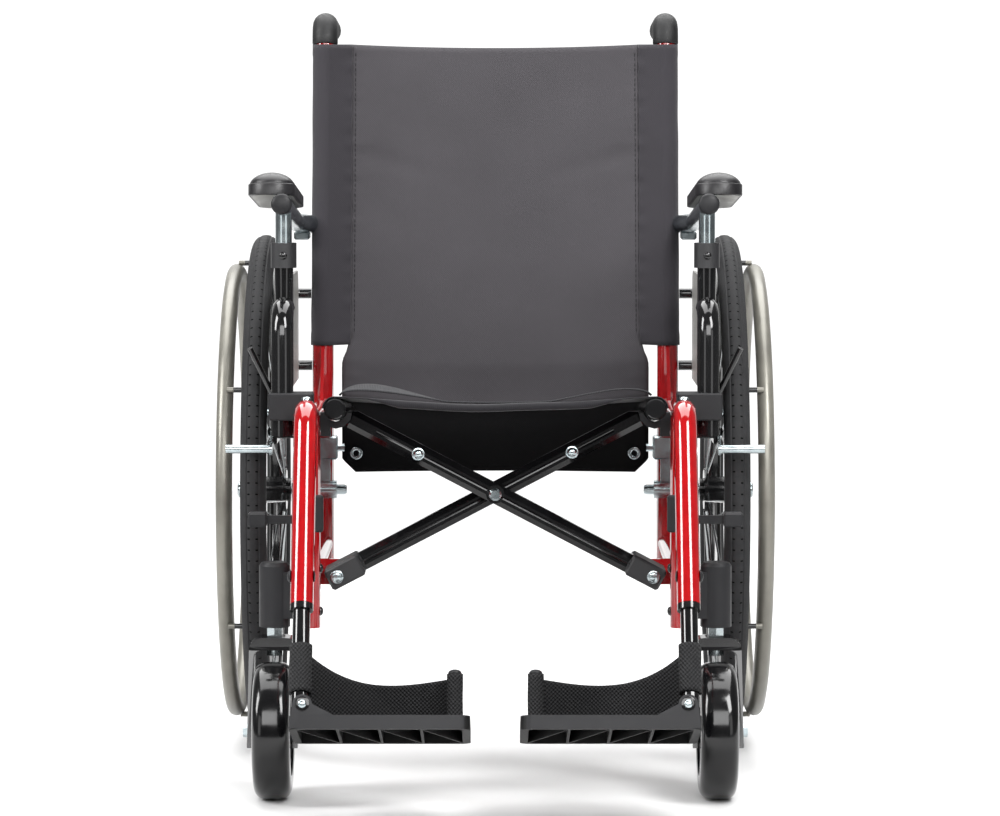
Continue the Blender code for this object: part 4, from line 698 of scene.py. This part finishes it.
def seatPoint(u, v):
    along = max(0.0, (v - seat["hemRows"]) / (1 - seat["hemRows"]))
    x = rail["x"] * (2 * u - 1)
    share = abs(x) / rail["x"]
    loose = crease(x, seatFront + seatDepth * along, seat["creaseScale"], seat["creaseSize"])
    lift = seat["wrap"] + (loose - seat["sag"]) * slack(share)
    hem = seat["flatHem"] + seat["hem"] * clamped((seat["hemEnd"] - share) / seat["hemRun"])
    roll = math.pi * min(1.0, v / seat["hemRows"])
    y = seatFront + hem - hem * math.sin(roll) + (seatDepth - hem) * along
    return Vector((x, y, railZ(y) + lift - hem * (1 + math.cos(roll))))


sling = placed(clothPiece("seatSling", 90, 76, seatPoint, "shadedSeatNylon", seat["thick"]), "seat", "fabric",
               "seat_sling")

# Fold strap: a ribbed pull strap over the front of the seat, humped at both ends, turned a little at the left
strap = {"half": 0.173, "width": 0.024, "y": -0.376, "thick": 0.0018, "rest": 0.0022, "leftHump": 0.0105,
         "leftRun": 0.34, "rightHump": 0.0085, "rightRun": 0.32, "humpPower": 0.6, "turn": math.radians(18),
         "turnPower": 1.5, "wander": 0.004, "waves": 5.2, "shift": 0.6}


def strapPoint(u, v):
    x = strap["half"] * (2 * u - 1)
    left = math.sin(math.pi * min(1.0, u / strap["leftRun"]) ** strap["humpPower"])
    right = math.sin(math.pi * min(1.0, (1 - u) / strap["rightRun"]) ** strap["humpPower"])
    roll = strap["turn"] * left ** strap["turnPower"]
    across = strap["width"] * (v - 0.5)
    wander = strap["wander"] * math.sin(u * strap["waves"] + strap["shift"])
    y = axleY + strap["y"] + across * math.cos(roll) + wander
    rise = strap["rest"] + strap["leftHump"] * left + strap["rightHump"] * right
    cloth = railZ(y) + seat["wrap"] - seat["sag"] * slack(abs(x) / rail["x"])
    return Vector((x, y, cloth + rise + across * math.sin(roll)))


pull = placed(clothPiece("foldStrap", 80, 8, strapPoint, "greyStrap", strap["thick"]), "seat", "strap",
              "fold_strap")
for side, sign in sides.items():
    def edgePoint(u, v):
        turn = math.radians(seat["edgeFrom"] + seat["edgeTurn"] * u)
        y = seatFront + seatDepth * v
        out = rail["x"] + seat["wrap"] * math.cos(turn)
        return Vector((sign * out, y, railZ(y) + seat["wrap"] * math.sin(turn)))
    made = clothPiece(side + "SeatEdge", 10, 40, edgePoint, "shadedSeatNylon", seat["thick"])
    placed(made, "brace_b" if side == "left" else "brace_a", "fabric")
print("stage: seat and back")

# Heel loops: webbing from a sleeve on the footrest extension to the post on the footplate
loop = {"thick": 0.0024, "height": 0.044, "low": 0.016, "high": 0.070, "bulge": 0.042, "bulgePower": 0.8,
        "dip": 0.012, "flare": 4, "ripple": 0.0014, "rippleAlong": 9, "rippleUp": 4, "tube": 0.0098}
post = {"x": 0.0435, "back": 0.072, "radius": 0.0063, "low": -0.0113, "high": 0.0450, "top": 0.0455,
        "capGap": 0.0003, "capRadius": 0.0074, "capHeight": 0.0042}
wrap = {"pinch": 0.02, "pinchRound": 5, "pinchUp": 9}


def wrapPoint(low, high, radius):
    # round a tube from low to high, pinched a little
    across = Vector((1, 0, 0))
    out = (high - low).normalized().cross(across).normalized()

    def point(u, v):
        turn = 2 * math.pi * u
        pinched = radius * (1 + wrap["pinch"] * math.sin(wrap["pinchRound"] * turn + wrap["pinchUp"] * v))
        return low.lerp(high, v) + (across * math.cos(turn) + out * math.sin(turn)) * pinched
    return point


for side, sign in sides.items():
    up = Vector((0, math.cos(foot["slope"]), math.sin(foot["slope"])))
    hinge = Vector((sign * cane["x"], foot["y"], foot["z"]))   # the extension stands in the canes' plane
    ends = [hinge + up * loop["low"], hinge + up * loop["high"]]
    plate = footPlace(sign)
    postLow, postHigh, postTop = [plate @ Vector((sign * (post["x"] - foot["x"]), post["back"], post[height]))
                                  for height in ("low", "high", "top")]
    tubeRadius = loop["tube"] + loop["thick"] / 2
    postRadius = post["radius"] + loop["thick"] / 2
    start = (ends[0] + ends[1]) / 2 + Vector((0, tubeRadius, 0))
    end = (postLow + postHigh) / 2 + Vector((0, postRadius, 0))

    def bandPoint(u, v):
        bow = math.sin(math.pi * u)
        ripple = loop["ripple"] * math.sin(loop["rippleAlong"] * u + loop["rippleUp"] * v) * bow
        y = start.y + (end.y - start.y) * u + loop["bulge"] * bow ** loop["bulgePower"] + ripple
        low = end.z - loop["height"] / 2 - loop["dip"] * bow
        tall = loop["height"] + (start.z - end.z) * (1 - u) ** loop["flare"]
        return Vector((start.x + (end.x - start.x) * u, y, low + tall * v))

    around = wrapPoint(*ends, tubeRadius)
    made = clothPiece(side + "LoopSleeve", 28, 14, around, "blackWebbing", loop["thick"])
    placed(made, side + "_hanger", "webbing")
    around = wrapPoint(postLow, postHigh, postRadius)
    made = clothPiece(side + "LoopPocket", 28, 14, around, "blackWebbing", loop["thick"])
    placed(made, side + "_foot", "webbing")
    made = clothPiece(side + "HeelLoop", 60, 12, bandPoint, "blackWebbing", loop["thick"])
    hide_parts(side + "_heel_loop")
    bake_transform(made)

    builder = bmesh.new()
    domeHead(builder, postTop + Vector((0, 0, post["capGap"])), plate.to_3x3() @ Vector((0, 0, 1)),
             post["capRadius"], post["capHeight"])
    placed(newPiece(side + "PostCap", builder, "greyMouldedPlastic"), side + "_foot", "grey_plastic")

# Armpads: a domed vinyl top on a crisp band, a pale base under it, and a round plug in the arm tube's end.
# Levels read (height, inset).
pad = {"x": 0.2507, "front": -0.332, "width": 0.053, "length": 0.254, "gap": 0.0006, "segments": 50,
       "levels": ((0.0, 0.0009), (0.0008, 0.0), (0.0124, 0.0), (0.0132, 0.0006), (0.0135, 0.0018),
                  (0.0142, 0.0018), (0.0168, 0.0030), (0.0198, 0.0058), (0.0226, 0.0100), (0.0247, 0.0150),
                  (0.0258, 0.0195), (0.0263, 0.0235)),
       "base": ((-0.0004, 0.0034), (-0.0001, 0.0030))}
plug = {"gap": 0.0003, "radius": 0.0118, "height": 0.0042}


def padSlab(sign, levels):
    builder = bmesh.new()
    straight = (pad["length"] - pad["width"]) / 2
    rings = []
    for height, inset in levels:
        made = bmesh.ops.create_circle(builder, segments=pad["segments"], radius=pad["width"] / 2 - inset)
        for vertex in made["verts"]:
            vertex.co += Vector((0, math.copysign(straight, vertex.co.y), height))
        rings.append(list({edge for vertex in made["verts"] for edge in vertex.link_edges}))
    for lower, upper in zip(rings, rings[1:]):
        bmesh.ops.bridge_loops(builder, edges=lower + upper)
    bmesh.ops.holes_fill(builder, edges=rings[0] + rings[-1], sides=0)
    middleY = axleY + pad["front"] + pad["length"] / 2
    lie = Matrix.Translation((sign * pad["x"], middleY, armZ(middleY) + arm["tube"] + pad["gap"]))
    bmesh.ops.transform(builder, matrix=lie @ Matrix.Rotation(-arm["drop"], 4, "X"), verts=builder.verts)
    return builder


for side, sign in sides.items():
    made = newPiece(side + "Armpad", padSlab(sign, pad["levels"]), "padVinyl")
    placed(made, side + "_arm", "vinyl", side + "_armpad")
    made = newPiece(side + "PadBase", padSlab(sign, pad["base"]), "palePanelPlastic")
    placed(made, side + "_arm", "pale_plastic")

    builder = bmesh.new()
    along = Vector((0, -math.cos(arm["drop"]), math.sin(arm["drop"])))
    tubeEnd = Vector((sign * arm["x"], arm["y"], arm["z"]))
    domeHead(builder, tubeEnd + along * plug["gap"], along, plug["radius"], plug["height"])
    placed(newPiece(side + "ArmPlug", builder, "greyMouldedPlastic"), side + "_arm", "grey_plastic")
print("stage: pads and loops")

# Screws, bolts and caps: each piece has a material, a body and a slot, then a row for each of its shapes,
# with the place on the right side, its depth counted from the axle, the way that it faces and its sizes.
ways = {"inward": Vector((-1, 0, 0)), "outward": Vector((1, 0, 0)), "forward": forward,
        "up": Vector((0, 0, 1)), "alongPlate": Vector((0, -math.cos(foot["tilt"]), math.sin(foot["tilt"])))}
ear = {"reach": 0.0334, "cup": 0.0008}
earFace = Vector((foot["x"], foot["y"] - axleY, foot["z"])) + ways["alongPlate"] * ear["reach"]
fasteners = {
    "FrameScrews": ("zincPlate", "_frame", "zinc", (
        (domeHead, (0.2557, -0.285, 0.419), "outward", 0.0062, 0.0034),
        (domeHead, (0.2557, -0.262, 0.395), "outward", 0.0062, 0.0034),
        (washer, (rail["x"], -0.3437, braceSocket["z"]), "forward", 0.0074, 0.0047, 0.0012),
        (hexHead, (rail["x"], -0.3451, braceSocket["z"]), "forward", 0.0056, 0.0042))),
    "BlackScrews": ("glossBlackPaint", "_frame", "black_paint", (
        (domeHead, (arm["x"], -0.3146, 0.597), "forward", 0.0044, 0.0022),
        (domeHead, (0.1942, -0.380, 0.204), "inward", 0.0050, 0.0030),
        (domeHead, (0.1942, -0.380, 0.252), "inward", 0.0050, 0.0030))),
    "HangerBolt": ("zincPlate", "_hanger", "zinc", (
        (domeHead, (cane["x"], -0.434, 0.4441), "up", 0.0056, 0.0032),)),
    "HangerCaps": ("greyMouldedPlastic", "_hanger", "grey_plastic", (
        (domeHead, (0.1942, -0.5487, 0.2617), "inward", 0.0064, 0.0012),
        (domeHead, (0.2198, -0.5487, 0.2617), "outward", 0.0064, 0.0034))),
    "HingeScrew": ("zincPlate", "_foot", "zinc", (
        (domeHead, earFace + ways["alongPlate"] * ear["cup"], "alongPlate", 0.0046, 0.0022),)),
    "HingeCup": ("glossBlackPaint", "_foot", "black_paint", (
        (washer, earFace, "alongPlate", 0.0078, 0.0020, ear["cup"]),)),
}
eyelet = {"x": 0.168, "up": 0.135, "proud": 0.0010, "steps": 26,
          "profile": ((0, 0.0036), (0.0004, 0.0074), (0.0014, 0.0076), (0.0020, 0.0060), (0.0012, 0.0036))}
for side, sign in sides.items():
    for name, (look, body, slot, rows) in fasteners.items():
        builder = bmesh.new()
        for shape, (x, y, z), way, *measures in rows:
            facing = Vector((sign, 1, 1)) * ways[way]
            shape(builder, Vector((sign * x, axleY + y, z)), facing, *measures)
        placed(newPiece(side + name, builder, look), side + body, slot)

    builder = bmesh.new()
    onFlap = flapPoint(0.5 + sign * eyelet["x"] / flap["half"] / 2, eyelet["up"])
    centre = Vector((sign * eyelet["x"], onFlap.y - eyelet["proud"], onFlap.z))
    spun(builder, eyelet["profile"], centre, forward, eyelet["steps"])
    placed(newPiece(side + "FlapEyelet", builder, "zincPlate"), side + "_frame", "zinc")

# The bolt through each brace tube, on a washer
braceBolt = {"x": 0.0863, "z": 0.3762, "tube": 0.0108, "washer": (0.0072, 0.0030, 0.0010),
             "head": (0.0056, 0.0034), "braces": {"brace_a": (1, -0.307), "brace_b": (-1, -0.332)}}
for brace, (sign, y) in braceBolt["braces"].items():
    builder = bmesh.new()
    face = Vector((sign * braceBolt["x"], axleY + y - braceBolt["tube"], braceBolt["z"]))
    washer(builder, face, forward, *braceBolt["washer"])
    domeHead(builder, face + forward * braceBolt["washer"][-1], forward, *braceBolt["head"])
    placed(newPiece(brace + "Bolt", builder, "zincPlate"), brace, "zinc")

# Stitching: a run of short threads beside each sleeve seam
stitch = {"length": 0.0036, "pitch": 0.0060, "radius": 0.0006, "sides": 6, "inset": 0.0042, "from": 0.22,
          "ahead": 0.004, "proud": 0.0007}
for side, sign in sides.items():
    builder = bmesh.new()
    count = int((back["top"] - back["hidden"]) / stitch["pitch"])
    share = 0.5 + sign * (1 - stitch["inset"] / back["seamX"]) / 2
    for i in range(int(count * stitch["from"]), count - 1):
        at = panelPoint(share, i / count)
        along = (panelPoint(share, i / count + stitch["ahead"]) - at).normalized()
        turned = along.to_track_quat("Z", "Y").to_matrix().to_4x4()
        place = Matrix.Translation(at + forward * stitch["proud"]) @ turned
        bmesh.ops.create_cone(builder, cap_ends=True, segments=stitch["sides"], radius1=stitch["radius"],
                              radius2=stitch["radius"], depth=stitch["length"], matrix=place)
    placed(newPiece(side + "SeamStitches", builder, "sewingThread"), side + "_frame", "fabric")
print("stage: fasteners and stitching")

# Each cloth sheet gets a mesh of its own
for piece in (panel, lowerFlap):
    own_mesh(piece)
for piece in (sling, pull):
    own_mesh(piece)

# Floor, light and camera at the photograph's angle. The world is white behind the chair and dim in front.
stage = {"floor": 2.6, "floorY": 0.9, "segments": 96, "front": 0.2, "behind": 1.15, "edge": (0.7, 0.95)}
builder = bmesh.new()
bmesh.ops.create_circle(builder, cap_ends=True, segments=stage["segments"], radius=stage["floor"],
                        matrix=Matrix.Translation((0, stage["floorY"], 0)))
floor = newPiece("floor", builder, "studioFloor")

world = bpy.data.worlds.new("studio")
bpy.context.scene.world = world
world.use_nodes = True
sky = world.node_tree
direction = addNode(sky, "TexCoord", output="Generated")
depth = addNode(sky, "SeparateXYZ", (direction,), "Y")
strength = addNode(sky, "MapRange", (depth, *stage["edge"], stage["front"], stage["behind"]))
sky.nodes["Background"].inputs["Color"].default_value = (1, 1, 1, 1)
sky.links.new(strength, sky.nodes["Background"].inputs["Strength"])

lamps = {
    "leftSoftbox": {"at": (-2.46, -0.84, 1.97), "size": (0.9, 1.6), "watts": 90, "aim": 0.35},
    "rightSoftbox": {"at": (1.38, -1.83, 2.48), "size": (0.95, 1.6), "watts": 100, "aim": 0.35},
    "leftStrip": {"at": (-1.9, -2.6, 0.9), "size": (1.0, 1.6), "watts": 9, "aim": 0.8},
    "rightStrip": {"at": (1.9, -2.6, 0.9), "size": (1.0, 1.6), "watts": 9, "aim": 0.8},
    "frontSoftbox": {"at": (0.0, -3.6, 2.0), "size": (3.0, 1.6), "watts": 110, "aim": 0.5},
    "topSoftbox": {"at": (0.0, 1.4, 4.2), "size": (5.0, 5.0), "watts": 425, "aim": 0.4},
}
for name, lamp in lamps.items():
    light = bpy.data.lights.new(name, "AREA")
    light.shape = "RECTANGLE"
    light.size, light.size_y = lamp["size"]
    light.energy = lamp["watts"]
    lampObject = bpy.data.objects.new(name, light)
    bpy.context.scene.collection.objects.link(lampObject)
    lampObject.location = lamp["at"]
    aim = Vector((0, 0, lamp["aim"])) - lampObject.location
    lampObject.rotation_euler = aim.to_track_quat("-Z", "Y").to_euler()

view = {"distance": 5.1114, "height": 0.7758, "pitch": 4.1731, "lens": 154.03, "sensor": 36.0,
        "shift": 0.0047, "far": 100}
cameraData = bpy.data.cameras.new("photoCamera")
cameraData.lens = view["lens"]
cameraData.sensor_width = view["sensor"]
cameraData.shift_x = view["shift"]
cameraData.clip_end = view["far"]
camera = bpy.data.objects.new("photoCamera", cameraData)
bpy.context.scene.collection.objects.link(camera)
camera.location = (0, axleY - view["distance"], view["height"])
camera.rotation_euler = (math.radians(90 - view["pitch"]), 0, 0)
bpy.context.scene.camera = camera
bpy.context.scene.view_settings.view_transform = "Standard"
print("stage: floor, light and camera")
